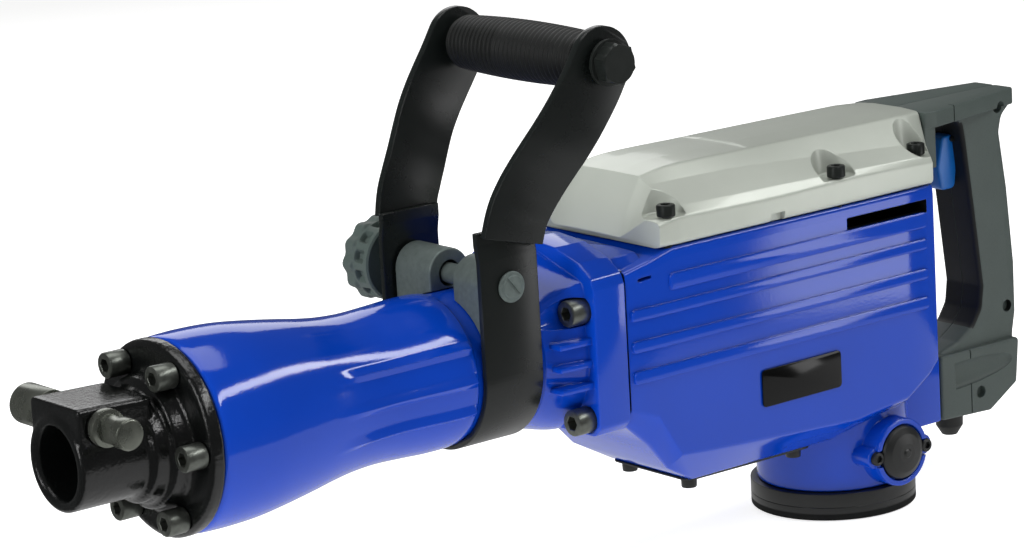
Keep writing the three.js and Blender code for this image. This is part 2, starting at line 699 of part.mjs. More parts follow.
function trigger() {
  const blade = prism(
    "y",
    rounded([[590, 34], [602, 34], [604, 50], [604, 69], [592, 69], [587, 50]], 3, 2),
    -6.5, 6.5, 0.6,
  );
  const eye = rod("y", [599.5, 66], 2.1, -12, 12, 16);
  return cut(blade, eye);
}

function switchBody() {
  const box1 = box(609, 626, -8, 8, 22, 60);
  const pin = rod("y", [599.5, 66], 1.8, -8, 8, 16);
  const arm = box(597, 612, 7, 8, 57, 69);
  return join(box1, pin, arm);
}

function lockButton() {
  return turned(
    "y",
    [[10.6, 0], [10.6, 4.4], [13, 4.4], [17.8, 4.4], [19, 3.4], [19, 0]],
    24,
    [612, 44],
  );
}

function cordGland() {
  const p = [[-126, 0], [-126, 5], [-120, 9], [-112.4, 9], [-112.4, 11], [-111.5, 11], [-111.5, 0]];
  return cut(turned("z", p, 28, [596, 0]), rod("z", [596, 0], 4, -127, -113, 20));
}

function badgePlate() {
  const outline = rounded([[385, -54.5], [449, -54.5], [449, -31.5], [385, -31.5]], 3, 3);
  return prism("y", outline, -59.4, -58.2);
}

// ---- swivelling front handle ----
function clampBand() {
  const outer = [];
  const inner = [];
  const arc = (r, list) => {
    for (let a = 0; a >= -180; a -= 9) list.push([r * Math.cos(a * DEG), r * Math.sin(a * DEG)]);
  };
  const ro = BAND_R + BAND_T;
  outer.push([45.4, 90], [45.4, 78], [ro, 68]);
  arc(ro, outer);
  outer.push([-ro, 68], [-45.4, 78], [-45.4, 90]);
  inner.push([-41.4, 90], [-41.4, 78], [-BAND_R, 68]);
  const back = [];
  arc(BAND_R, back);
  inner.push(...back.reverse());
  inner.push([BAND_R, 68], [41.4, 78], [41.4, 90]);
  const strap = prism("x", [...outer, ...inner], BAND_X - BAND_W / 2, BAND_X + BAND_W / 2);
  return cut(strap, rod("y", [BAND_X, CLAMP_Z], 6.4, -60, 60, 24));
}

const armPath = [
  [216.5, 48.9, 77], [221, 50.4, 90], [226, 52, 100], [231, 54.6, 110], [236.5, 58, 120],
  [242.5, 61.4, 130], [249, 63.6, 140], [256, 64.6, 150], [263, 65, 160], [270, 65, 171],
];

function handleArm(s) {
  const rings = [];
  const V = (p) => new THREE.Vector3(p[0], s * p[1], p[2]);
  const push = (c, along, half) => {
    const w = new THREE.Vector3(along.z, 0, -along.x).normalize();
    const n = along.clone().cross(w).normalize().multiplyScalar(ARM_T / 2);
    const corner = (i, j) => c.clone().addScaledVector(w, i * half).addScaledVector(n, j);
    rings.push([corner(-1, -1), corner(1, -1), corner(1, 1), corner(-1, 1)].map((q) => q.toArray()));
  };
  armPath.forEach((p, i) => {
    const a = V(armPath[Math.max(0, i - 1)]);
    const b = V(armPath[Math.min(armPath.length - 1, i + 1)]);
    push(V(p), b.sub(a).normalize(), ARM_W / 2);
  });
  const end = V(armPath[armPath.length - 1]);
  const up = end.clone().sub(V(armPath[armPath.length - 2])).normalize();
  for (const t of [0.25, 0.5, 0.7, 0.85, 0.95]) {
    const reach = (ARM_W / 2) * t;
    const half = (ARM_W / 2) * Math.sqrt(1 - t * t);
    push(end.clone().addScaledVector(up, reach), up, half);
  }
  const eye = rod("y", [GRIP_X, GRIP_Z], 6.3, -90, 90, 24);
  return cut(loft(rings), eye);
}

function handleGrip() {
  const profile = [[-GRIP_HALF, 6.4], [-GRIP_HALF, 15.5]];
  const rings = 9;
  for (let i = 0; i < rings; i++) {
    const y0 = -GRIP_HALF + 3 + (i * (2 * GRIP_HALF - 6)) / rings;
    const step = (2 * GRIP_HALF - 6) / rings;
    const bulge = 1.4 * Math.cos(((y0 + step / 2) / GRIP_HALF) * (Math.PI / 2));
    profile.push([y0 + 0.3 * step, 15 + bulge], [y0 + 0.4 * step, 16.4 + bulge]);
    profile.push([y0 + 0.9 * step, 16.4 + bulge], [y0 + step, 15 + bulge]);
  }
  profile.push([GRIP_HALF, 15.5], [GRIP_HALF, 6.4]);
  return turned("y", profile, 32, [GRIP_X, GRIP_Z]);
}

function gripRod() {
  const shank = rod("y", [GRIP_X, GRIP_Z], 6, -74, 76, 24);
  const head = prism("y", circle(12.7, 6, 15 * DEG), -82, -73).translate([GRIP_X, 0, GRIP_Z]);
  const washer = rod("y", [GRIP_X, GRIP_Z], 13.5, -73.5, -71, 32);
  return join(shank, head, washer);
}

function gripNut() {
  const nut = prism("y", circle(12.7, 6), 68.6, 77).translate([GRIP_X, 0, GRIP_Z]);
  return cut(nut, rod("y", [GRIP_X, GRIP_Z], 6.3, 60, 90, 24));
}

function clampBolt() {
  const p = [[-50.4, 0], [-50.4, 8], [-49.6, 9], [-47.5, 9], [-47.5, 6], [74, 6], [74, 0]];
  const body = turned("y", p, 28, [BAND_X, CLAMP_Z]);
  return cut(body, box(BAND_X - 12, BAND_X + 12, -52, -49.4, CLAMP_Z - 1, CLAMP_Z + 1));
}

function clampSaddle(s) {
  const [y0, y1] = s < 0 ? [-41, -13] : [8, 41];
  const dome = Array.from({ length: 9 }, (_, i) => {
    const a = (Math.PI * i) / 8;
    return [BAND_X + 14.5 * Math.cos(a), CLAMP_Z + 14.5 * Math.sin(a)];
  });
  const body = prism("y", [[BAND_X - 14.5, 12], [BAND_X + 14.5, 12], ...dome], y0, y1, 0);
  return cut(
    body,
    rod("x", [0, 0], BAND_R, 150, 280, 60),
    rod("y", [BAND_X, CLAMP_Z], 6.4, -60, 60, 24),
  );
}

function clampKnob() {
  const lobes = circle(25, 48).map(([a, b], i) => {
    const k = i % 4 === 0 ? 0.92 : 1;
    return [a * k, b * k];
  });
  const body = prism("y", lobes, 56, 81, 2).translate([BAND_X, 0, CLAMP_Z]);
  const hub = rod("y", [BAND_X, CLAMP_Z], 13, 47.6, 57, 32);
  const pockets = Array.from({ length: 6 }, (_, i) =>
    box(14, 21, 74, 90, -3, 3).rotate([0, 60 * i, 0]).translate([BAND_X, 0, CLAMP_Z]),
  );
  return cut(join(body, hub), rod("y", [BAND_X, CLAMP_Z], 6.3, 40, 75, 24), pockets);
}

// ---- assembly ----
node("front_cover", frontCover(), "black");
node("stop_lever", stopLever(), "oxide");
for (let i = 0; i < 6; i++) {
  const [y, z] = [Math.cos(60 * i * DEG), Math.sin(60 * i * DEG)].map((k) => k * FRONT_BOLT_PCR);
  node(`front_bolt_${i + 1}`, socketScrewX(-13.3, y, z, 7.3, 13, 4, 28), "oxide");
}
node("tool_holder", toolHolder(), "steel");
node("cylinder_case", cylinderCase(), "blue");
node("impact_bolt", impactBolt(), "steel");
node("striker", striker(), "steel");
node("cylinder_liner", cylinderLiner(), "steel");
node("piston", piston(), "zinc");
node("piston_pin", pistonPin(), "steel");
node("connecting_rod", connectingRod(), "steel");
node("crankshaft", crankshaft(), "steel");
node("crank_bearing", bearing(39.3, 51, 10.3, 17.5, CRANK_X), "steel");
node("idler_gear", idlerGear(), "steel");
node("bearing_plate", bearingPlate(), "zinc");
node("armature", armature(), "copper");
node("fan", fan(), "plastic");
node("stator", stator(), "carbon");
node("armature_bearing_top", bearing(1, 10, 5.3, 14, MOTOR_X), "steel");
node("armature_bearing_bottom", bearing(-122, -112, 4.3, 7.6, MOTOR_X), "steel");
let boltNo = 0;
for (const s of [-1, 1])
  for (const z of [27, -37])
    node(`case_bolt_${++boltNo}`, socketScrewX(BLOCK_FRONT - 11.8, s * 46, z, 7.8, 13, 4, 33), "oxide");
node("main_housing", mainHousing(), "blue");
node("bottom_cover", bottomCover(), "black");
node("tail_cap", tailCap(), "black");
for (const [side, s] of [["near", -1], ["far", 1]]) {
  node(`brush_cap_${side}`, brushCap(s), "rubber");
  node(`carbon_brush_${side}`, carbonBrush(s), "carbon");
}
node("top_cover", topCover(), "silver");
boltNo = 0;
for (const s of [-1, 1])
  for (const [x, dy] of [[322, 0], [456, 0], [531, -9]]) {
    const screw = socketScrewX(0, 0, 0, 5.6, 7, 2.6, 26).rotate([0, 90, 0]);
    node(`cover_bolt_${++boltNo}`, screw.translate([x, s * (53.5 + dy), 79.3]), "oxide");
  }
for (const [side, s] of [["near", -1], ["far", 1]]) {
  node(`rear_handle_${side}`, handleHalf(s), "plastic");
}
node("trigger", trigger(), "azure");
node("switch_body", switchBody(), "carbon");
node("lock_button", lockButton(), "azure");
node("cord_gland", cordGland(), "rubber");
node("badge_plate", badgePlate(), "black");
node("clamp_band", clampBand(), "black");
for (const [side, s] of [["near", -1], ["far", 1]]) {
  node(`handle_arm_${side}`, handleArm(s), "black");
  node(`clamp_saddle_${side}`, clampSaddle(s), "zinc");
}
node("handle_grip", handleGrip(), "rubber");
node("grip_rod", gripRod(), "oxide");
node("grip_nut", gripNut(), "oxide");
node("clamp_bolt", clampBolt(), "zinc");
node("clamp_knob", clampKnob(), "plastic");

export default root;
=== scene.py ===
# %% [markdown]
# # An electric demolition hammer
#
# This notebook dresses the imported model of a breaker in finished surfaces. Each step names a part of
# the machine, says how the real one is made, and shows how its form can be built from a few mesh
# operators. The work is done in millimetres, measured back from the front flange along the tool's
# axis, because that is how the maker's drawing would be laid out.

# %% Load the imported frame
import json
import math

import bmesh
import bpy
from mathutils import Matrix, Vector


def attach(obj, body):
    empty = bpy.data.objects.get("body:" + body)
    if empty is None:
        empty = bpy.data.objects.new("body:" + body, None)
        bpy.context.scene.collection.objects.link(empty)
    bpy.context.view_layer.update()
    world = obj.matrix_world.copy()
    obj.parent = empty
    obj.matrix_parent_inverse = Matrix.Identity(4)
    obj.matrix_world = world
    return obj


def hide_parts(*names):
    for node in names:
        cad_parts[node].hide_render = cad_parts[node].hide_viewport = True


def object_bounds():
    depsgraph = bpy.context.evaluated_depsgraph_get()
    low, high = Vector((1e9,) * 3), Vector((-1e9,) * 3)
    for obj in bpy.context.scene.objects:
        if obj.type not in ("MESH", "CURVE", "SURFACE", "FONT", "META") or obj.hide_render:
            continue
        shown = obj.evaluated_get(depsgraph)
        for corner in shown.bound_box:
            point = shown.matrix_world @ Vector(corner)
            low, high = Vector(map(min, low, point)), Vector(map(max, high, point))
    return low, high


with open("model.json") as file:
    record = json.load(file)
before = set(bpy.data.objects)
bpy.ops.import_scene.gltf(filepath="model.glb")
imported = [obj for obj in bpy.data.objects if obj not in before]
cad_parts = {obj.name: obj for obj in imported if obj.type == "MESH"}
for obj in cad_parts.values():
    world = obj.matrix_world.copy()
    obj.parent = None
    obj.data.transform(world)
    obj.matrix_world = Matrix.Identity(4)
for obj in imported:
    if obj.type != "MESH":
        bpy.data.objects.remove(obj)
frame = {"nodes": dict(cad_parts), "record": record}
packed_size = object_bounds()
scene = bpy.context.scene

# %% [markdown]
# ## Camera, floor and light
#
# A product shot of a long tool is taken from far away with a long lens, so that the near end isn't
# swollen. The floor is pale paper, and the light comes from soft boxes: gloss enamel shows nothing
# but what it reflects, so a long narrow strip draws the barrel, and low cards that act only in the
# gloss draw the ribs and the flat side without washing out the colour beneath. The paper lights the
# tool from below, but is kept out of the gloss for the same reason.

# %% Camera
camera_data = bpy.data.cameras.new("camera")
camera_data.lens = 131.6
camera_data.sensor_width = 36
camera = bpy.data.objects.new("camera", camera_data)
scene.collection.objects.link(camera)
right = Vector((0.7791, -0.6242, -0.0583)).normalized()
back = Vector((-0.5993, -0.7688, 0.2231)).normalized()
turn_to = Matrix((right, back.cross(right), back)).transposed()
camera.matrix_world = Matrix.Translation((-1.5305, -1.6511, 0.6683)) @ turn_to.to_4x4()
scene.camera = camera
scene.view_settings.view_transform = "Standard"


# %% Shader helper
def linear(code):
    """Turns a #rrggbb colour into the linear RGBA that shaders use."""
    parts = [int(code[i : i + 2], 16) / 255 for i in (1, 3, 5)]
    return [p / 12.92 if p <= 0.04045 else ((p + 0.055) / 1.055) ** 2.4 for p in parts] + [1]


def add(tree, kind, settings=None, **sockets):
    """Adds a shader node. A value that is a node's output is wired in, and any other is set."""
    node = tree.nodes.new("ShaderNode" + kind)
    for key, value in (settings or {}).items():
        setattr(node, key, value)
    for key, value in sockets.items():
        socket = node.inputs[key.replace("_", " ")]
        if isinstance(value, bpy.types.NodeSocket):
            tree.links.new(value, socket)
        else:
            socket.default_value = value
    return node.outputs[0]


def blank(name):
    """An empty material with its output, ready for a shader."""
    material = bpy.data.materials.new(name)
    material.use_nodes = True
    tree = material.node_tree
    tree.nodes.clear()
    return material, tree, tree.nodes.new("ShaderNodeOutputMaterial").inputs["Surface"]


# %% Floor and soft boxes
def soft_box(name, place, aim, width, height, power, gloss=True, diffuse=True):
    """A rectangular area light that faces its aim, for the gloss, the diffuse light or both."""
    data = bpy.data.lights.new(name, "AREA")
    data.shape, data.size, data.size_y = "RECTANGLE", width, height
    data.energy = power
    box = bpy.data.objects.new(name, data)
    scene.collection.objects.link(box)
    box.location = place
    box.rotation_euler = (Vector(aim) - Vector(place)).to_track_quat("-Z", "Y").to_euler()
    box.visible_camera = False
    box.visible_glossy, box.visible_diffuse = gloss, diffuse
    return box


centre = (packed_size[0] + packed_size[1]) / 2
soft_box("box_top", (-0.2, 0.2, 1.9), centre, 1.6, 1.2, 12)
soft_box("strip_key", (0.55, -0.95, 1.35), (-0.15, 0, 0.15), 2.2, 0.22, 14)
soft_box("strip_nose", (-1.9, -0.35, 0.75), (-0.5, 0, 0.15), 0.2, 1.0, 5)
soft_box("fill_front", (-2.0, 0.1, 0.9), centre, 1.0, 1.0, 34, gloss=False)
soft_box("paper_glow", (-0.1, -0.1, 0.004), (-0.1, -0.1, 1), 0.95, 0.7, 1.2, diffuse=False)
soft_box("card_low", (0.36, -0.46, 0.14), (0.02, -0.05, 0.16), 0.15, 0.3, 0.36, diffuse=False)
soft_box("box_back", (0.6, 1.8, 1.1), centre, 1.4, 0.9, 7)

world = bpy.data.worlds.new("studio")
scene.world = world
world.use_nodes = True
world.node_tree.nodes["Background"].inputs["Color"].default_value = linear("#ffffff")
world.node_tree.nodes["Background"].inputs["Strength"].default_value = 0.1

paper, tree, surface = blank("paper")
mottle = add(tree, "TexNoise", Scale=30.0, Detail=3.0)
tint = add(tree, "MixRGB", Fac=mottle, Color1=linear("#f6f6f5"), Color2=linear("#fafaf9"))
tree.links.new(add(tree, "BsdfPrincipled", Base_Color=tint, Roughness=0.9,
                          Emission_Color=linear("#ffffff"), Emission_Strength=0.72), surface)
floor_mesh = bpy.data.meshes.new("floor")
sheet = bmesh.new()
bmesh.ops.create_grid(sheet, x_segments=8, y_segments=8, size=6)
sheet.to_mesh(floor_mesh)
sheet.free()
floor_mesh.materials.append(paper)
floor = bpy.data.objects.new("floor", floor_mesh)
floor.location.z = -0.0005
floor.visible_glossy = False
scene.collection.objects.link(floor)
print("object size:", [round(v, 3) for v in packed_size[1] - packed_size[0]])

# %% [markdown]
# ## Finishes
#
# Every finish is one recipe with its own numbers. Slow patches drift the colour between two close
# tones, a grain gives the surface its small relief, and the Bevel shader rounds every machined or
# moulded edge just enough to catch a line of light, as real edges do.


# %% One recipe for every finish
def finish(name, tone, other, rough, patch=30, grain=1.2, depth=0.01, metal=0.0, coat=0.0,
           edge=0.5, detail=2.0, gloss=0.5, fleck=None):
    """A finish in real millimetres: patch is the drift of tone, grain and depth are the relief."""
    material, tree, surface = blank(name)
    where = add(tree, "TexCoord")
    spot = tree.nodes[-1].outputs["Object"]
    drift = add(tree, "TexNoise", Vector=spot, Scale=1000 / patch, Detail=4.0)
    colour = add(tree, "MixRGB", Fac=drift, Color1=linear(tone), Color2=linear(other))
    relief = add(tree, "TexNoise", Vector=spot, Scale=1000 / grain, Detail=detail)
    if fleck:
        bits = add(tree, "TexVoronoi", Vector=spot, Scale=1000 / fleck[1])
        dots = add(tree, "MapRange", Value=bits, From_Min=0.0, From_Max=0.35, To_Min=0.5, To_Max=0.0)
        colour = add(tree, "MixRGB", Fac=dots, Color1=colour, Color2=linear(fleck[0]))
    shine = add(tree, "MapRange", Value=drift, To_Min=rough[0], To_Max=rough[1])
    rounded_edge = add(tree, "Bevel", {"samples": 4}, Radius=edge / 1000)
    bump = add(tree, "Bump", Height=relief, Distance=depth / 1000, Normal=rounded_edge)
    shader = add(tree, "BsdfPrincipled", Base_Color=colour, Roughness=shine, Metallic=metal,
                 Coat_Weight=coat, Coat_Roughness=0.04, Specular_IOR_Level=gloss, Normal=bump,
                 Coat_Normal=bump)
    tree.links.new(shader, surface)
    return material


FINISHES = {
    # stoved gloss enamel: the orange peel of the spray gives the wavy edge to each reflection
    "blue_enamel": finish("blue_enamel", "#053daf", "#0437a2", (0.07, 0.11), 60, 1.7, 0.03,
                          edge=0.7, gloss=0.6),
    # satin metallic lacquer, with aluminium flake too fine to see one by one
    "silver_enamel": finish("silver_enamel", "#b9beb5", "#afb5ab", (0.36, 0.44), 40, 0.4, 0.006,
                            metal=0.25, coat=0.25, edge=1.2),
    # thick black enamel over a sand casting: the lumps of the sand show through the gloss
    "black_enamel": finish("black_enamel", "#050606", "#0a0b0b", (0.12, 0.24), 14, 2.4, 0.3,
                           edge=0.7, detail=5.0, gloss=0.6),
    "badge_black": finish("badge_black", "#020202", "#040404", (0.1, 0.16), 20, 0.8, 0.003, gloss=0.3,
                          edge=0.2),
    # hot oil blackened steel, worn back to grey in patches
    "black_oxide": finish("black_oxide", "#4c4f4b", "#868a83", (0.28, 0.42), 5, 0.7, 0.02,
                          metal=0.9, edge=0.3),
    "hardened_steel": finish("hardened_steel", "#8d9092", "#a4a7a8", (0.2, 0.34), 12, 0.5, 0.004,
                             metal=1.0, edge=0.3),
    "cast_alloy": finish("cast_alloy", "#8b908d", "#767b78", (0.4, 0.55), 16, 0.9, 0.05,
                         metal=0.9, edge=0.5),
    # dull zinc over a rough casting, with the crystals of the coat as a faint mottle
    "zinc_plated": finish("zinc_plated", "#7c8784", "#5f6a68", (0.42, 0.6), 4, 0.8, 0.05,
                          metal=0.7, edge=0.5),
    "laminations": finish("laminations", "#4c4d4f", "#3b3c3e", (0.45, 0.6), 8, 0.5, 0.02, metal=0.8),
    "carbon": finish("carbon", "#1b1b1c", "#242425", (0.6, 0.75), 6, 0.4, 0.01),
    "black_plastic": finish("black_plastic", "#101111", "#171918", (0.3, 0.42), 10, 0.5, 0.02,
                            edge=0.4),
    # spark-eroded mould texture in filled nylon: matt, with a fine even grain
    "grey_plastic": finish("grey_plastic", "#3c4643", "#46514d", (0.5, 0.6), 20, 0.6, 0.045,
                           edge=0.6, fleck=("#202725", 0.9)),
    "azure_plastic": finish("azure_plastic", "#0b5fae", "#0a569f", (0.3, 0.4), 14, 0.5, 0.008,
                            edge=0.5),
    "rubber": finish("rubber", "#0b0c0b", "#131514", (0.45, 0.6), 8, 0.6, 0.03, edge=0.3),
    "dark_bolt": finish("dark_bolt", "#1c1f1d", "#262a28", (0.3, 0.42), 6, 0.7, 0.02, metal=0.5,
                        edge=0.3),
    # strip steel under a semi-gloss powder coat: flatter and paler than the casting's enamel
    "black_strip": finish("black_strip", "#0d100f", "#131716", (0.24, 0.32), 30, 0.9, 0.014,
                          edge=0.7, gloss=0.45),
    # a lever rubbed bright by the thumb and the chisel's shank
    "worn_steel": finish("worn_steel", "#575b54", "#8b8e85", (0.2, 0.36), 9, 0.8, 0.02, metal=0.9,
                         edge=0.5),
}
for part in frame["record"]["subparts"]:
    node = frame["nodes"][part["node"]]
    node.data.materials.clear()
    node.data.materials.append(FINISHES[part["material_slot"]])
print("finishes:", len(FINISHES))

# %% [markdown]
# ## Tools for making a form
#
# A few small helpers cover the machine. `skin` lays a grid over rings of points, `turn` makes the
# rings of a lathe job, `block` grows a flat outline into a slab with eased rims, `carve` cuts or
# welds one closed form with another, and `join` lets two forms pass into each other as they are.
# `make` sets the result in the frame. The stations below are the ones that several parts share.

# %% Form helpers
MOTOR_X = 493
AXIS_HEIGHT = 145
TO_FRAME = Matrix.Scale(0.001, 4) @ Matrix.Translation((-MOTOR_X, 0, AXIS_HEIGHT))
LEVER = (-46, 21.5)
CLAMP = (211, 51)
GRIP = (270, 171)
BRUSH = (497, -106)
BRUSH_SCREWS = (476.6, 517.4)
CASE_BORE = 33.4
FRONT_BOLTS = [(46 * math.cos(math.radians(60 * i)), 46 * math.sin(math.radians(60 * i)))
               for i in range(6)]
CASE_BOLTS = [(y, z) for y in (-46, 46) for z in (27, -37)]


def rounded(points, radius, steps=4, closed=True):
    """Eases the corners of an outline; every corner gives steps + 1 points."""
    made = []
    count = len(points)
    for i, corner in enumerate(points):
        here = Vector(corner)
        if not closed and i in (0, count - 1):
            made.append(here)
            continue
        a = Vector(points[i - 1]) - here
        b = Vector(points[(i + 1) % count]) - here
        half = max(0.02, min(a.angle(b, math.pi), 3.1)) / 2
        reach = min(radius / math.tan(half), 0.46 * a.length, 0.46 * b.length)
        start, end = here + a.normalized() * reach, here + b.normalized() * reach
        for k in range(steps + 1):
            t = k / steps
            made.append((1 - t) ** 2 * start + 2 * t * (1 - t) * here + t * t * end)
    return made


def skin(bm, rings):
    """Lays a grid over closed rings of points, welds its seam and closes its ends."""
    around, along = len(rings[0]), len(rings) - 1
    laid = bmesh.ops.create_grid(bm, x_segments=around, y_segments=along, size=0.5)["verts"]
    for vert in laid:
        i, j = round((vert.co.y + 0.5) * along), round((vert.co.x + 0.5) * around)
        vert.co = rings[i][j % around]
    bmesh.ops.remove_doubles(bm, verts=laid, dist=1e-4)
    rim = [edge for edge in bm.edges if edge.is_boundary]
    bmesh.ops.holes_fill(bm, edges=rim, sides=0)


def place(axis, centre, station, a, b):
    """A point at a station along an axis, a and b across it."""
    if axis == "x":
        return Vector((station, centre[0] + a, centre[1] + b))
    if axis == "y":
        return Vector((centre[0] + a, station, centre[1] + b))
    return Vector((centre[0] + a, centre[1] + b, station))


def turn(bm, axis, centre, profile, around=72):
    """A lathe job. A third number in a profile point squares the circle off towards a hexagon."""
    rings = []
    for station, radius, *hexed in profile:
        k = hexed[0] if hexed else 0
        ring = []
        for j in range(around):
            angle = math.tau * j / around
            flat = math.cos(math.pi / 6) / math.cos(angle % (math.pi / 3) - math.pi / 6)
            reach = radius * (1 - k + k * flat)
            ring.append(place(axis, centre, station, reach * math.cos(angle), reach * math.sin(angle)))
        rings.append(ring)
    skin(bm, rings)


def block(bm, axis, outline, low, high, ease=0.0, steps=2):
    """Grows a closed outline from low to high along an axis and eases both rims."""
    made = bmesh.ops.create_circle(bm, cap_ends=True, segments=len(outline), radius=1)["verts"]
    for vert, (a, b) in zip(made, outline):
        vert.co = place(axis, (0, 0), low, a, b)
    base = made[0].link_faces[0]
    grown = bmesh.ops.extrude_face_region(bm, geom=[base], use_keep_orig=True)["geom"]
    top = [item for item in grown if isinstance(item, bmesh.types.BMVert)]
    bmesh.ops.translate(bm, verts=top, vec=place(axis, (0, 0), high - low, 0, 0))
    if ease:
        rims = {e for v in made for e in v.link_edges if e.other_vert(v) in made}
        rims |= {e for v in top for e in v.link_edges if e.other_vert(v) in top}
        bmesh.ops.bevel(bm, geom=list(rims), offset=ease, segments=steps, affect="EDGES",
                        profile=0.5, material=-1, clamp_overlap=True)


def as_object(bm, name="work"):
    """Puts a form into the scene for a moment, so that modifiers can work on it."""
    bmesh.ops.recalc_face_normals(bm, faces=bm.faces[:])
    mesh = bpy.data.meshes.new(name)
    bm.to_mesh(mesh)
    bm.free()
    obj = bpy.data.objects.new(name, mesh)
    scene.collection.objects.link(obj)
    return obj


def settled(obj):
    """The form that an object's modifiers give, as a new bmesh; the object goes."""
    shape = obj.evaluated_get(bpy.context.evaluated_depsgraph_get())
    bm = bmesh.new()
    bm.from_mesh(shape.to_mesh())
    shape.to_mesh_clear()
    bpy.data.objects.remove(obj)
    return bm


def carve(bm, tool, how="DIFFERENCE"):
    """Cuts or welds one closed form with another."""
    body, other = as_object(bm), as_object(tool)
    step = body.modifiers.new("carve", "BOOLEAN")
    step.operation, step.object, step.solver = how, other, "EXACT"
    step.use_self = True
    done = settled(body)
    bpy.data.objects.remove(other)
    return done


def join(bm, extra):
    """Adds a closed form to another without cutting either."""
    bmesh.ops.recalc_face_normals(extra, faces=extra.faces[:])
    spare = bpy.data.meshes.new("spare")
    extra.to_mesh(spare)
    bm.from_mesh(spare)
    extra.free()


def mirrored(bm):
    """Adds the far side of a form, as its reflection in the tool's middle plane."""
    copy = bmesh.ops.duplicate(bm, geom=bm.verts[:] + bm.edges[:] + bm.faces[:])["geom"]
    verts = [item for item in copy if isinstance(item, bmesh.types.BMVert)]
    faces = [item for item in copy if isinstance(item, bmesh.types.BMFace)]
    bmesh.ops.scale(bm, vec=(1, -1, 1), verts=verts)
    bmesh.ops.reverse_faces(bm, faces=faces)


def make(name, bm, body, slot, nodes, looks=None, crease=32):
    """Sets a form in the frame as a named piece that stands for its nodes."""
    bmesh.ops.recalc_face_normals(bm, faces=bm.faces[:])
    bmesh.ops.transform(bm, matrix=TO_FRAME, verts=bm.verts[:])
    for face in bm.faces:
        face.smooth = True
    for edge in bm.edges:
        edge.smooth = edge.calc_face_angle(0) < math.radians(crease)
    piece = as_object(bm, name)
    for look in looks or [slot]:
        piece.data.materials.append(FINISHES[look])
    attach(piece, body)
    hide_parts(*nodes)
    print(f"{name}: {len(piece.data.polygons)} faces")
    return piece


def curve(points, at):
    """A smooth line through (station, value) points, by Hermite pieces."""
    for i in range(len(points) - 1):
        (x0, y0), (x1, y1) = points[i], points[i + 1]
        if at <= x1 or i == len(points) - 2:
            break
    before, after = points[max(i - 1, 0)], points[min(i + 2, len(points) - 1)]
    m0 = (y1 - before[1]) / (x1 - before[0])
    m1 = (after[1] - y0) / (after[0] - x0)
    t = min(max((at - x0) / (x1 - x0), 0), 1)
    h = x1 - x0
    return ((2 * t**3 - 3 * t**2 + 1) * y0 + (t**3 - 2 * t**2 + t) * h * m0
            + (3 * t**2 - 2 * t**3) * y1 + (t**3 - t**2) * h * m1)


def between(low, high, value):
    """Eases from 0 at low to 1 at high."""
    t = min(max((value - low) / (high - low), 0), 1)
    return t * t * (3 - 2 * t)


# %% [markdown]
# ## Front cover and tool holder
#
# The nose is a sand casting, machined only where it bears. Its parts are welded in one lump, and a
# voxel remesh with a little smoothing melts the corners together as poured metal does.

# %% Front cover
nose = bmesh.new()
turn(nose, "x", (0, 0), rounded([
    (9, 0), (9, 54.8), (2.2, 54.8), (0.2, 52.6), (0.2, 40), (-1.5, 38), (-9.5, 36.2), (-11, 32.2),
    (-18.5, 31), (-21, 27), (-60.8, 26.8), (-62.6, 24.6), (-62.8, 0),
], 0.9, 3, closed=False), 120)
boss = bmesh.new()
block(boss, "x", rounded([(-24.2, -6), (24.2, -6), (24.2, 33), (-24.2, 33)], 3.5, 4), -60.6, -14.5, 1.6)
for vert in boss.verts:
    vert.co.z -= max(0, vert.co.x + 46) * 0.05 if vert.co.z > 20 else 0
nose = carve(nose, boss, "UNION")
bore = bmesh.new()
turn(bore, "x", (0, 0), [(-70, 0), (-70, 19.7), (-6.5, 19.7), (-6.5, 0)], 96)
nose = carve(nose, bore)
mouth = bmesh.new()
turn(mouth, "x", (0, 0), [(-70, 0), (-70, 26), (-60, 20), (-60, 0)], 96)
nose = carve(nose, mouth)
for at in FRONT_BOLTS:
    spot = bmesh.new()
    turn(spot, "x", at, [(-17, 0), (-17, 8.2), (-0.3, 8.2), (-0.3, 0)], 40)
    nose = carve(nose, spot)
eye = bmesh.new()
turn(eye, "y", LEVER, [(-40, 0), (-40, 8.3), (40, 8.3), (40, 0)], 48)
nose = carve(nose, eye)
cast = as_object(nose)
melt = cast.modifiers.new("melt", "REMESH")
melt.mode, melt.voxel_size = "VOXEL", 0.9
nose = settled(cast)
for _ in range(3):
    bmesh.ops.smooth_vert(nose, verts=nose.verts[:], factor=0.5, use_axis_x=True, use_axis_y=True,
                          use_axis_z=True)
make("nose_casting", nose, "hammer", "black_enamel", ["front_cover"], crease=50)


# %% [markdown]
# ## Socket screws
#
# A cap screw is headed cold and its hexagon is punched in, so the rim is bright and a little
# rounded. The same lathe profile serves the flange, the block and the cover.

# %% Socket screws
def socket_screw(bm, axis, centre, face, away, radius, length, shank, reach):
    """A cap screw: its face stands at a station, and the head grows the way `away` points."""
    key = 0.56 * radius
    profile = [
        (0.62 * length, 0), (0.55 * length, key, 1), (0.3, key, 1), (0, key + 0.35, 1),
        (0, radius - 1.1), (0.25, radius - 0.4), (0.9, radius), (length * 0.93, radius),
        (length, radius - 0.4), (length, shank), (length + reach, shank), (length + reach, 0),
    ]
    turn(bm, axis, centre, [(face + away * s, *rest) for s, *rest in profile], 60)


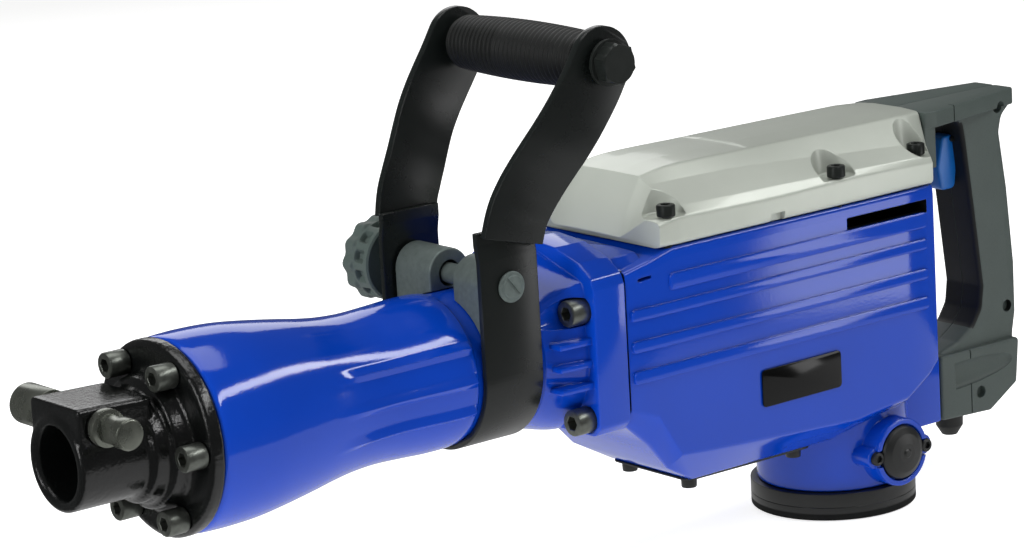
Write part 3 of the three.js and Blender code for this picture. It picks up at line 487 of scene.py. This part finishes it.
screws = bmesh.new()
for at in FRONT_BOLTS:
    socket_screw(screws, "x", at, -13.2, 1, 7.2, 12.8, 4, 20)
make("flange_screws", screws, "hammer", "black_oxide", [f"front_bolt_{i + 1}" for i in range(6)])
screws = bmesh.new()
for at in CASE_BOLTS:
    socket_screw(screws, "x", at, 250.3, 1, 7.7, 12.8, 4, 30)
make("block_screws", screws, "hammer", "black_oxide", [f"case_bolt_{i + 1}" for i in range(4)])
screws = bmesh.new()
for side in (-1, 1):
    for x, y in ((322, 53.5), (456, 53.5), (531, 44.5)):
        socket_screw(screws, "z", (x, side * y), 79.2, -1, 5.5, 7, 2.6, 24)
make("cover_screws", screws, "hammer", "black_oxide", [f"cover_bolt_{i + 1}" for i in range(6)],
     ["dark_bolt"])

# %% [markdown]
# ## Stop lever
#
# The cross pin that holds the chisel in is a turned bar with a flatted thumb end, cut with a scoop
# that lets the shank past when the pin is turned over.

# %% Stop lever
lever = bmesh.new()
turn(lever, "y", LEVER, rounded([
    (-50.9, 0), (-50.9, 7.6), (-50, 8.5), (-43.2, 8.5), (-42.6, 7.7), (-30.6, 7.7), (-30.2, 10.4),
    (-25.6, 10.4), (-25.4, 7.9), (25.4, 7.9), (25.6, 11.4), (51, 11.4), (52.8, 9.6), (52.8, 0),
], 0.5, 2, closed=False), 72)
flat = bmesh.new()
block(flat, "y", [(-58, 8), (-51.3, 8), (-51.3, 35), (-58, 35)], -43, -30.8)
lever = carve(lever, flat)
scoop = bmesh.new()
turn(scoop, "x", (0, 43), [(-58, 0), (-58, 20), (-34, 20), (-34, 0)], 72)
lever = carve(lever, scoop)
make("stop_pin", lever, "retainer", "black_oxide", ["stop_lever"], ["worn_steel"])

# %% [markdown]
# ## Cylinder case
#
# The barrel is one surface of revolution whose waist clears the clamp, so it is laid as a grid of
# stations and degrees. The three ribs down each flank are part of the same skin: they rise out of
# the belly where it starts to fall away, with a broad upper flank and a steep lower one.

# %% Barrel
BARREL = [
    (9.5, 53.4), (11, 54.4), (16, 55), (30, 55.3), (48, 54.6), (66, 52.4), (86, 49.2), (104, 46),
    (118, 44.2), (134, 43.4), (152, 44), (168, 44.8), (181, 44.8), (186.5, 44.2),
]


def rib_height(x, angle):
    """How far the side ribs stand off the barrel, for an angle above the horizon on either side."""
    rise = 2.5 * between(86, 118, x) * (1 - between(185.0, 186.4, x))
    best = 0
    for crest in (25, 1, -22):
        off = angle - crest
        best = max(best, 1 - off / 6.5 if off >= 0 else 1 + off / 4)
    return rise * max(best, 0)


def barrel_ring(x, radius, ribbed=True):
    """One ring of the barrel, a point to each degree."""
    ring = []
    for degree in range(360):
        angle = math.radians(degree)
        lift = abs((degree + 90) % 360 - 180) - 90
        reach = radius + (rib_height(x, -lift) if ribbed else 0)
        ring.append(Vector((x, -reach * math.cos(angle), reach * math.sin(angle))))
    return ring


stations = [9.5, 10, 11, 12.5, 14] + [16 + 1.5 * i for i in range(113)] + [185, 185.6, 186.2, 186.6]
rings = [barrel_ring(9.5, 30, False)]
rings += [barrel_ring(x, curve(BARREL, x)) for x in stations]
rings += [barrel_ring(x, r, False)
          for x, r in ((187.4, 43.6), (188.6, 42.7), (233.4, 42.7), (234.6, 43.6))]


def flare_ring(x):
    """The rear flare: a round neck that swells into the shoulders of the flanged block."""
    k = between(232, 268, x)
    ring = []
    for degree in range(360):
        angle = math.radians(degree)
        side, up = -math.cos(angle), math.sin(angle)
        outline = min(56 / max(abs(side), 0.01), 60.5 / (max(up, 0.01) + 0.32 * abs(side)))
        high = between(0.25, 0.75, up)
        target = 51 + (min(outline, 66) - 51) * high
        reach = 44.4 + (target - 44.4) * k
        ring.append(Vector((x, reach * side, reach * up)))
    return ring


rings += [flare_ring(235.4 + 1.2 * i) for i in range(24)]
rings.append(barrel_ring(263, 30, False))
case = bmesh.new()
skin(case, rings)
pockets = bmesh.new()
for at in CASE_BOLTS:
    turn(pockets, "x", at, [(232, 0), (232, 9.2), (262, 8.6), (263.3, 8), (263.3, 0)], 48)
turn(pockets, "x", (0, 0), [(125, 0), (125, CASE_BORE), (270, CASE_BORE), (270, 0)])
case = carve(case, pockets)
for side in (-1, 1):
    for z in (10, -3, -16):
        rib = bmesh.new()
        block(rib, "y", rounded([(239, z - 1.6), (264, z - 2.2), (264, z + 2.2), (239, z + 1.6)], 1.2, 3),
              40 if side > 0 else -53.6, 53.6 if side > 0 else -40, 0.9)
        join(case, rib)
BLOCK_HALF = [(51, -47), (57, -41), (57.5, 40), (55, 46), (44, 54), (24, 60.5), (0, 62.8)]
outline = [(0, -47)] + BLOCK_HALF + [(-y, z) for y, z in reversed(BLOCK_HALF[:-1])]
slab = bmesh.new()
block(slab, "x", rounded(outline, 5, 4), 262.2, 285.6, 1.4, 3)
drill = bmesh.new()
for at in CASE_BOLTS:
    turn(drill, "x", at, [(255, 0), (255, 8.4), (263.2, 8.4), (263.2, 0)], 40)
turn(drill, "x", (0, 0), [(255, 0), (255, CASE_BORE), (290, CASE_BORE), (290, 0)])
slab = carve(slab, drill)
join(case, slab)
make("cylinder_casting", case, "hammer", "blue_enamel", ["cylinder_case"], crease=24)

# %% [markdown]
# ## Swivelling front handle
#
# A strap of 4 mm steel is rolled round the waist of the barrel and its ears are joggled in, so that
# the two arms of flat bar can lie outside them. One long bolt pulls the ears onto a pair of cast
# saddles and is turned by the moulded knob on the far side.


# %% Clamp band
def strap_side(radius, ear):
    """One face of the strap, from the top of one ear round under the barrel to the other."""
    arc = [(radius * math.cos(math.radians(a)), radius * math.sin(math.radians(a)))
           for a in range(0, -181, -3)]
    return rounded([(ear, 84), (ear, 77), (radius, 68)] + arc + [(-radius, 68), (-ear, 77),
                   (-ear, 84)], 6, 2, closed=False)


band = bmesh.new()
block(band, "x", strap_side(47.1, 45.3) + strap_side(43.3, 41.5)[::-1], 190.6, 231.4, 0.7, 2)
make("clamp_strap", band, "front_handle", "black_enamel", ["clamp_band"], ["black_strip"])

# %% Arms
ARM_PATH = [
    (212.6, 48.9, 77), (216, 50.4, 90), (221, 52, 100), (227.2, 54.6, 110), (233.8, 58, 120),
    (240.8, 61.4, 130), (248.2, 63.6, 140), (255.7, 64.6, 150), (263, 65, 160), (270, 65, 171),
]
BAR = rounded([(-21, -2.45), (21, -2.45), (21, 2.45), (-21, 2.45)], 0.9, 3)


def arm_point(t):
    """The middle of the bar, a share t of the way up."""
    at = t * (len(ARM_PATH) - 1)
    return Vector([curve([(i, p[axis]) for i, p in enumerate(ARM_PATH)], at) for axis in range(3)])


def arm_ring(middle, along, share):
    """One section of the bar, narrowed to a share of its width at the round end."""
    across = Vector((along.z, 0, -along.x)).normalized()
    out = along.cross(across).normalized()
    return [middle + across * a * share + out * b for a, b in BAR]


for side, body_side in (("near", -1), ("far", 1)):
    rings = []
    for i in range(55):
        t = i / 54
        along = (arm_point(min(t + 0.01, 1)) - arm_point(max(t - 0.01, 0))).normalized()
        rings.append(arm_ring(arm_point(t), along, 1))
    tip, up = arm_point(1), (arm_point(1) - arm_point(0.97)).normalized()
    for k in range(1, 17):
        a = math.pi / 2 * k / 17
        rings.append(arm_ring(tip + up * 20 * math.sin(a), up, math.cos(a)))
    arm = bmesh.new()
    skin(arm, [[Vector((p.x, body_side * p.y, p.z)) for p in ring] for ring in rings])
    make(f"arm_{side}", arm, "front_handle", "black_enamel", [f"handle_arm_{side}"], ["black_strip"])

# %% Saddles and cross bolt
for side, low, high in (("near", -40.9, -13.1), ("far", 8.1, 40.9)):
    dome = [(211 + 14.4 * math.cos(math.pi * i / 24), 51 + 14.4 * math.sin(math.pi * i / 24))
            for i in range(25)]
    saddle = bmesh.new()
    block(saddle, "y", [(196.6, 20), (225.4, 20)] + dome, low, high, 1.2, 3)
    seat = bmesh.new()
    turn(seat, "x", (0, 0), [(180, 0), (180, 43.3), (240, 43.3), (240, 0)], 180)
    saddle = carve(saddle, seat)
    hole = bmesh.new()
    turn(hole, "y", CLAMP, [(-60, 0), (-60, 7.6), (60, 7.6), (60, 0)], 48)
    saddle = carve(saddle, hole)
    make(f"saddle_{side}", saddle, "front_handle", "zinc_plated", [f"clamp_saddle_{side}"])
cross = bmesh.new()
turn(cross, "y", CLAMP, rounded([
    (-50.3, 0), (-50.3, 6), (-49.9, 6.8), (-49.3, 6.9), (-49.2, 8.6), (-48.8, 8.95), (-47.6, 8.95),
    (-47.5, 5.9), (73.8, 5.9), (73.8, 0)], 0.3, 2, closed=False), 72)
slot = bmesh.new()
block(slot, "y", [(202, 50.1), (220, 50.1), (220, 51.9), (202, 51.9)], -52, -49.5)
bmesh.ops.rotate(slot, cent=(211, 0, 51), matrix=Matrix.Rotation(0.9, 3, "Y"), verts=slot.verts)
cross = carve(cross, slot)
make("cross_bolt", cross, "front_handle", "zinc_plated", ["clamp_bolt"], ["zinc_plated"])

# %% [markdown]
# ## Knob, grip and trim
#
# The knob is moulded round a threaded insert, with windows that save material and give the fingers
# a hold. The grip is a rubber sleeve whose rings swell towards the middle of the hand.


# %% Knob
def knob_radius(y, angle):
    """The moulded rim: twelve lobes on the outer lip, with a window between each two."""
    lobe = 0.5 + 0.5 * math.cos(12 * angle)
    window = between(0.35, 0.7, 1 - lobe) * between(60, 61, y) * (1 - between(67.5, 68.5, y))
    lip = between(69, 71, y) * (1 - between(77.5, 80.5, y))
    return 23.2 - 3.6 * window + lip * (1.7 - 1.9 * (1 - lobe)) - 3.5 * between(77.5, 80.8, y)


def knob_ring(y, radius=None):
    """One ring of the knob, round if a radius is given."""
    ring = []
    for j in range(144):
        angle = math.tau * j / 144
        reach = knob_radius(y, angle) if radius is None else radius
        ring.append(place("y", CLAMP, y, reach * math.cos(angle), reach * math.sin(angle)))
    return ring


rings = [knob_ring(y, r) for y, r in ((47.8, 0), (47.8, 12), (48.6, 12.8), (56, 12.8))]
rings += [knob_ring(56.1, r) for r in (19, 20, 21, 22)]
rings += [knob_ring(57 + i * 23.8 / 49) for i in range(50)]
rings += [knob_ring(y, r) for y, r in ((80.9, 17), (79, 15.5), (79, 0))]
knob = bmesh.new()
skin(knob, rings)
make("moulded_knob", knob, "knob", "grey_plastic", ["clamp_knob"])

# %% Ribbed grip and its bolt
profile = [(-56.9, 0), (-56.9, 14.2), (-56.3, 15)]
for i in range(29):
    y = -54 + 108 * i / 28
    crown = 15.2 + 2.2 * math.cos(math.pi / 2 * y / 57) ** 0.7
    profile += [(y - 1.55, crown - 1.0), (y - 1.0, crown - 0.2), (y - 0.4, crown + 0.2),
                (y + 0.4, crown + 0.2), (y + 1.0, crown - 0.2), (y + 1.55, crown - 1.0)]
profile += [(56.3, 15), (56.9, 14.2), (56.9, 0)]
grip = bmesh.new()
turn(grip, "y", GRIP, profile, 96)
make("ribbed_grip", grip, "front_handle", "rubber", ["handle_grip"], crease=60)


def hexagon(bm, axis, centre, low, high, radius, phase, chamfered=True):
    """A hexagon head or nut, its outer face turned down to a circle."""
    inner = radius * 0.86
    shape = [(low, 0), (low, inner)]
    shape += [(low + 0.9, radius, 1), (high - 0.9, radius, 1), (high, inner), (high, 0)]
    start = set(bm.verts)
    turn(bm, axis, centre, shape, 72)
    fresh = [v for v in bm.verts if v not in start]
    pivot = place(axis, centre, 0, 0, 0)
    bmesh.ops.rotate(bm, cent=pivot, matrix=Matrix.Rotation(math.radians(phase), 3, axis.upper()),
                     verts=fresh)


bolt = bmesh.new()
hexagon(bolt, "y", GRIP, -81.9, -73, 12.6, 18)
turn(bolt, "y", GRIP, rounded([(-73.4, 0), (-73.4, 13.4), (-71.1, 13.4), (-71.1, 6), (75.9, 6),
                                     (75.9, 0)], 0.4, 2, closed=False), 72)
make("grip_bolt", bolt, "front_handle", "black_oxide", ["grip_rod"], ["dark_bolt"])
nut = bmesh.new()
hexagon(nut, "y", GRIP, 68.7, 76.9, 12.6, 0)
make("grip_lock_nut", nut, "front_handle", "black_oxide", ["grip_nut"], ["dark_bolt"])

# %% [markdown]
# ## Main housing
#
# One aluminium casting holds the crank room, the gears and the motor. The skin is a loft of eased
# sections from the flanged block back to the handle; the bands down its sides stiffen it and break
# up the flat, and the motor barrel hangs below as a plain turned form.

# %% Housing shell
SECTIONS = [
    (286.3, 45.6, -35.6, 56.6, 39.6, -45.6, 47.6), (287.4, 46, -36, 57, 40, -46, 48),
    (306, 50, -43, 58, 44, -62, 47), (322, 54.2, -69.2, 58, 48, -80, 43.5),
    (345, 54.2, -71, 58, 48, -93.2, 38), (458, 54.2, -78, 58, 48, -93.2, 38),
    (463, 54.2, -78.4, 58, 48, -91, 39), (505, 54.2, -74, 58, 48, -85, 40),
    (524, 54.2, -62, 58, 48, -78, 40), (534, 54.2, -56, 55, 48, -72, 38),
    (548.8, 54.2, -52, 34, 48, -66, 30),
]


def housing_ring(x, top, low, wide, mid, bottom, narrow):
    """One eased section of the housing."""
    half = [(narrow, bottom), (wide, low), (wide, mid), (wide - 0.6, top)]
    outline = half + [(-y, z) for y, z in reversed(half)]
    return [Vector((x, y, z)) for y, z in rounded(outline, 5, 5)]


shell = bmesh.new()
skin(shell, [housing_ring(*row) for row in SECTIONS])
slot = bmesh.new()
for side in (-1, 1):
    block(slot, "y", rounded([(459, 38.6), (526, 38.6), (526, 46.9), (459, 46.9)], 1, 2),
          *((-64, -47) if side < 0 else (47, 64)))
    block(slot, "y", rounded([(295, 38.6), (305, 39.4), (305, 41.4), (295, 40.6)], 0.6, 2),
          *((-64, -53) if side < 0 else (53, 64)))
# the bore, the crank room, its nose and the gear room, so that the mechanism has its space
turn(slot, "x", (0, 0), [(280, 0), (280, CASE_BORE), (303, CASE_BORE), (303, 0)])
for half_width, outline in (
    (46, [(301, -36), (446, -36), (446, 14), (301, 14)]),
    (40, [(300, -20), (329, -20), (329, 43), (300, 43)]),
    (50, [(328, 12), (526, 12), (526, 60), (328, 60)]),
):
    block(slot, "y", outline, -half_width, half_width)
shell = carve(shell, slot)
crown = bmesh.new()
skin(crown, [
    [Vector((x, y, z)) for y, z in rounded(points, 5, 5)]
    for x, points in (
        (286.3, [(54, 44), (44, 52), (24, 58.5), (0, 60.8), (-24, 58.5), (-44, 52), (-54, 44)]),
        (305, [(55, 44), (44, 53), (24, 54), (0, 54.3), (-24, 54), (-44, 53), (-55, 44)]),
    )
])
join(shell, crown)
bands = bmesh.new()
for x, low, high in ((318, 30, 39.5), (288, 16.5, 23), (288, -2, 4.5), (288, -20.5, -13)):
    for side in (-1, 1):
        face, root = 59.6 * side, 57 * side
        block(bands, "y", rounded([(x, low), (524, low), (524, high), (x, high)], 2.6, 4),
              min(face, root), max(face, root), 0.8, 3)
join(shell, bands)
motor = bmesh.new()
turn(motor, "z", (MOTOR_X, 0), [
    (-127.6, 0), (-127.6, 46.6), (-127, 47), (-100, 47.5), (-60, 48.4), (-60, 0)], 144)
for side in (-1, 1):
    turn(motor, "y", BRUSH, [(side * s, r) for s, r in rounded(
        [(20, 0), (20, 21), (57, 21), (57, 17.4), (56, 17.2), (56, 0)], 0.8, 3, closed=False)], 96)
    for x in BRUSH_SCREWS:
        turn(motor, "y", (x, BRUSH[1]), [(side * s, r) for s, r in rounded(
            [(40, 0), (40, 6.4), (56.5, 6.4), (56.5, 0)], 0.8, 3, closed=False)], 48)
block(motor, "z", rounded([(534, -20.4), (570, -20.4), (570, 20.4), (534, 20.4)], 3, 3),
      -108.8, -67, 1.5, 3)
join(shell, motor)
# Painted shade: the faces inside the slots, the bore and the rooms take the black plastic finish, though
# the casting is bare metal there; the black stands for the shade inside.
for face in shell.faces:
    middle = face.calc_center_median()
    deep = 56.5 if middle.x > 459 else 50.5
    if 281 < middle.x < 526.5 and -37 < middle.z < 47 and abs(middle.y) < deep:
        face.material_index = 1
# The second finish paints the shade inside the slots and rooms.
make("housing_casting", shell, "hammer", "blue_enamel", ["main_housing"],
     ["blue_enamel", "black_plastic"], crease=24)

# %% Brush collars and their screws
collar = bmesh.new()
for side in (-1, 1):
    turn(collar, "y", BRUSH, [(side * s, r) for s, r in rounded(
        [(56, 17.5), (59.1, 17.5), (59.1, 20.9), (56, 20.9), (56, 17.5)], 0.9, 3, closed=False)], 96)
gap = bmesh.new()
block(gap, "y", [(470, -112), (524, -112), (524, -101.5), (470, -101.5)], -64, 64)
collar = carve(collar, gap)
make("brush_collars", collar, "hammer", "blue_enamel", [])

# %% Bottom cover, tail ring, brush caps and badge
pan = bmesh.new()
block(pan, "z", rounded([(344.2, -35), (442.8, -37), (442.8, 37), (344.2, 35)], 6, 5),
      -94.9, -93.4, 0.5, 2)
for side in (-1, 1):
    for x in (352, 436):
        turn(pan, "z", (x, side * 27), rounded([
            (-100.9, 0), (-100.9, 4.6), (-94, 4.9), (-94, 0)], 0.6, 2, closed=False), 36)
make("bottom_plate", pan, "hammer", "black_plastic", ["bottom_cover"])
tail = bmesh.new()
turn(tail, "z", (MOTOR_X, 0), rounded([
    (-144.9, 0), (-144.9, 51.2), (-137, 51.2), (-136.7, 50.9), (-136.4, 51.2), (-128.1, 51.2), (-128.1, 40),
    (-128.1, 0)], 0.8, 3, closed=False), 144)
make("tail_ring", tail, "hammer", "black_plastic", ["tail_cap"])
for side, s in (("near", -1), ("far", 1)):
    cap = bmesh.new()
    turn(cap, "y", BRUSH, [(s * y, r) for y, r in rounded([
        (51.4, 0), (51.4, 16.7), (58.6, 16.7), (60.4, 15.6), (62.4, 12), (63.4, 6), (63.4, 3), (64.4, 2),
        (64.4, 0)], 0.8, 3, closed=False)], 96)
    for x in BRUSH_SCREWS:
        socket_screw(cap, "y", (x, BRUSH[1]), s * 59.9, -s, 4.2, 3.4, 2, 6)
    make(f"brush_cap_{side}_moulding", cap, "hammer", "rubber", [f"brush_cap_{side}"], ["black_plastic"])
badge = bmesh.new()
block(badge, "y", rounded([(385.2, -54.3), (448.8, -54.3), (448.8, -31.7), (385.2, -31.7)], 3, 6),
      -59.3, -58.3, 0.35, 2)
make("blank_badge", badge, "hammer", "black_plastic", ["badge_plate"], ["badge_black"])

# %% [markdown]
# ## Silver top cover
#
# The gear cover is die cast and lacquered silver. Its shoulder falls in two soft steps from the flat
# top to the joint, and the steps sweep wider towards the rear, so each section is drawn from rows
# of stations and joined by smooth curves. A half-round pocket lets the driver in at every screw.

# %% Cover skin
ROWS = [
    # station, then top, edge y and z, step y and z, hip y and z, wide y and z
    (306.2, [60, 30, 59.4, 36, 63, 48, 71, 56.8, 69.5]),
    (312, [75, 30, 74, 35, 73.5, 48, 75, 57.4, 70.4]),
    (323, [93.4, 30, 92.4, 36, 87.5, 50, 77, 57.9, 70.8]),
    (345, [96.9, 30, 95.2, 37, 87.8, 52, 76, 57.9, 70.4]),
    (402, [96.5, 30, 95, 39, 86.8, 53, 75, 57.9, 69]),
    (470, [95.9, 30, 94.6, 43, 82.6, 54.5, 74, 57.9, 70]),
    (533, [95.5, 29, 94.2, 46, 79, 55, 72, 56.9, 68]),
    (551.4, [94.5, 27, 93.4, 31, 79, 33, 72, 34.4, 68]),
]


def cover_ring(x):
    """One eased section of the cover."""
    values = []
    for k in range(9):
        rows = [(station, numbers[k]) for station, numbers in ROWS]
        part = rows[:3] if x <= 323 else rows[2:7] if x <= 533 else rows[6:]
        if x <= 323 or x > 533:
            i = 1 if x > part[1][0] and len(part) > 2 else 0
            (x0, v0), (x1, v1) = part[i], part[i + 1]
            values.append(v0 + (v1 - v0) * (x - x0) / (x1 - x0))
        else:
            values.append(curve(part, x))
    top, edge_y, edge_z, step_y, step_z, hip_y, hip_z, wide, wide_z = values
    half = [(wide, 54.8), (wide, wide_z), (hip_y, hip_z), (step_y, step_z), (edge_y, edge_z), (12, top)]
    outline = half + [(-y, z) for y, z in reversed(half)]
    sweep = 0.3 * (1 - between(312, 346, x))
    ring = []
    for y, z in rounded(outline, 4, 5):
        roof = 0.7 * between(90, 93, z) * (1 - between(407, 408.2, x)) * (1 - between(27, 29, abs(y)))
        ring.append(Vector((x + sweep * max(0, abs(y) - 31), y, z - roof)))
    return ring


stations = [306.2, 309, 312, 315, 318, 321, 323] + [324 + 3 * i for i in range(28)]
stations += [407, 407.6, 408.2] + [410 + 3 * i for i in range(41)] + [533, 538, 543, 548, 551.3]
lid = bmesh.new()
skin(lid, [cover_ring(x) for x in stations])
scoops = bmesh.new()
for side in (-1, 1):
    for x, dy, radius, rise in ((321, 0, 15.5, 8), (456, 0, 15, 8), (531, -9, 13, 9)):
        out = 53.5 + dy
        turn(scoops, "z", (x, side * out), rounded([
            (71.2, 0), (71.2, radius - 3), (72, radius - 1.6), (92, radius + 0.6), (110, radius + 1),
            (110, 0)
        ], 1, 2, closed=False), 64)
lid = carve(lid, scoops)
notch = bmesh.new()
for low, high in ((-62, -54), (54, 62)):
    block(notch, "y", [(399, 50), (410, 50), (410, 60), (399, 60)], low, high)
lid = carve(lid, notch)
make("cover_casting", lid, "hammer", "silver_enamel", ["top_cover"], crease=28)

# %% [markdown]
# ## Rear handle
#
# The D handle is two nylon shells screwed together in the middle plane. Each is drawn as its side
# outline, grown to half its thickness and eased; the spark-eroded grain of the mould does the rest.

# %% Handle shells
HANDLE_SIDE = [
    (562.3, 81.5), (592, 81.5), (598, 77), (600, 66), (606, 20), (612, -30), (610, -44), (603, -54),
    (590, -62), (570.3, -67.3), (570.3, -108.8), (614, -110.8), (637.8, -97), (640.8, -64),
    (643.3, -52), (643.3, -20), (638.8, 30), (633.4, 66), (636, 76), (645.8, 84), (645.8, 90),
    (643, 92.8), (562.3, 92.8),
]
half = bmesh.new()
block(half, "y", rounded(HANDLE_SIDE, 9, 4), -16.4, -0.2)
rims = [e for e in half.edges if all(v.co.y < -16 for v in e.verts) and len(e.link_faces) == 2]
bmesh.ops.bevel(half, geom=rims, offset=4, segments=4, affect="EDGES", profile=0.5, material=-1,
                clamp_overlap=True)
bar = bmesh.new()
block(bar, "z", rounded([(552.2, -0.2), (552.2, -31), (562, -32.4), (600, -25.4), (644.5, -16.8),
                         (645.8, -15), (645.8, -0.2)], 2, 3), 82.2, 92.9, 1.2, 3)
join(half, bar)
block_part = bmesh.new()
block(block_part, "y", rounded([(552.2, 57), (562.2, 57), (562.2, 92), (552.2, 92)], 0.8, 2),
      -30.9, -0.2, 1.2, 3)
join(half, block_part)
mount = bmesh.new()
block(mount, "y", rounded([(549.6, 34.2), (562.2, 34.2), (562.2, 60), (549.6, 54)], 1.5, 2),
      -25.9, -0.2, 1.2, 3)
join(half, mount)
lower = bmesh.new()
block(lower, "y", rounded([
    (570.5, -108.9), (614, -110.9), (637.9, -97), (640.9, -68), (570.5, -67.4)], 3, 4), -20.4, -0.2)
rims = [e for e in lower.edges if all(v.co.y < -20 for v in e.verts) and len(e.link_faces) == 2]
bmesh.ops.bevel(lower, geom=rims, offset=1.8, segments=4, affect="EDGES", profile=0.5, material=-1,
                clamp_overlap=True)
bullet = bmesh.new()
rounds = [(582.5 + 52 * k / 20, 8.6 * math.sqrt(max(0, 1 - (k / 20) ** 2.2))) for k in range(21)]
turn(bullet, "x", (0, 0), [(582.5, 0)] + rounds, 48)
bmesh.ops.scale(bullet, vec=(1, 0.55, 1), verts=bullet.verts)
bmesh.ops.rotate(bullet, cent=(583, 0, 0), matrix=Matrix.Rotation(math.radians(-2.5), 3, "Y"),
                 verts=bullet.verts)
bmesh.ops.translate(bullet, vec=(0, -20.8, -82.5), verts=bullet.verts)
lower = carve(lower, bullet)
join(half, lower)
recess = bmesh.new()
for x, z, y in ((631, 82.5, -16), (634.5, -47, -16), (605, -97, -20)):
    turn(recess, "y", (x, z), [(y - 8, 0), (y - 8, 3.9), (y + 3.6, 3.9), (y + 3.6, 0)], 40)
for x, low, high, y in ((580, 70, 100, -24), (596, -120, -60, -19.4)):
    block(recess, "y", [(x, low), (x + 0.9, low), (x + 0.9, high), (x, high)], y - 16, y)
half = carve(half, recess)
mirrored(half)
# The faces of the grip that point forward are made black with the rubber finish.
for face in half.faces:
    middle = face.calc_center_median()
    if face.normal.x < -0.35 and -58 < middle.z < 78 and middle.x > 586 and abs(middle.y) < 16.2:
        face.material_index = 1
make("handle_shells", half, "hammer", "grey_plastic", ["rear_handle_near", "rear_handle_far"],
     ["grey_plastic", "rubber"], crease=28)

# %% Trigger, lock button and gland
squeeze = bmesh.new()
block(squeeze, "y", rounded([
    (590, 34.2), (602, 34.2), (604, 50), (604, 68.8), (592, 68.8), (587.2, 50)], 4, 4), -6.4, 6.4, 1.6, 3)
make("trigger_blade", squeeze, "trigger_body", "azure_plastic", ["trigger"])
button = bmesh.new()
turn(button, "y", (612, 44), rounded([
    (10.8, 0), (10.8, 4.3), (18.9, 4.3), (18.9, 0)], 0.9, 3, closed=False), 48)
make("lock_knob", button, "lock_body", "azure_plastic", ["lock_button"])
gland = bmesh.new()
turn(gland, "z", (596, 0), rounded([
    (-113.5, 0), (-113.5, 3.2), (-125.9, 3.6), (-125.9, 4.9), (-120, 8.6), (-112.6, 8.9), (-112.4, 10.8),
    (-111.6, 10.8), (-111.6, 0)], 0.5, 2, closed=False), 60)
make("gland_boot", gland, "hammer", "rubber", ["cord_gland"])
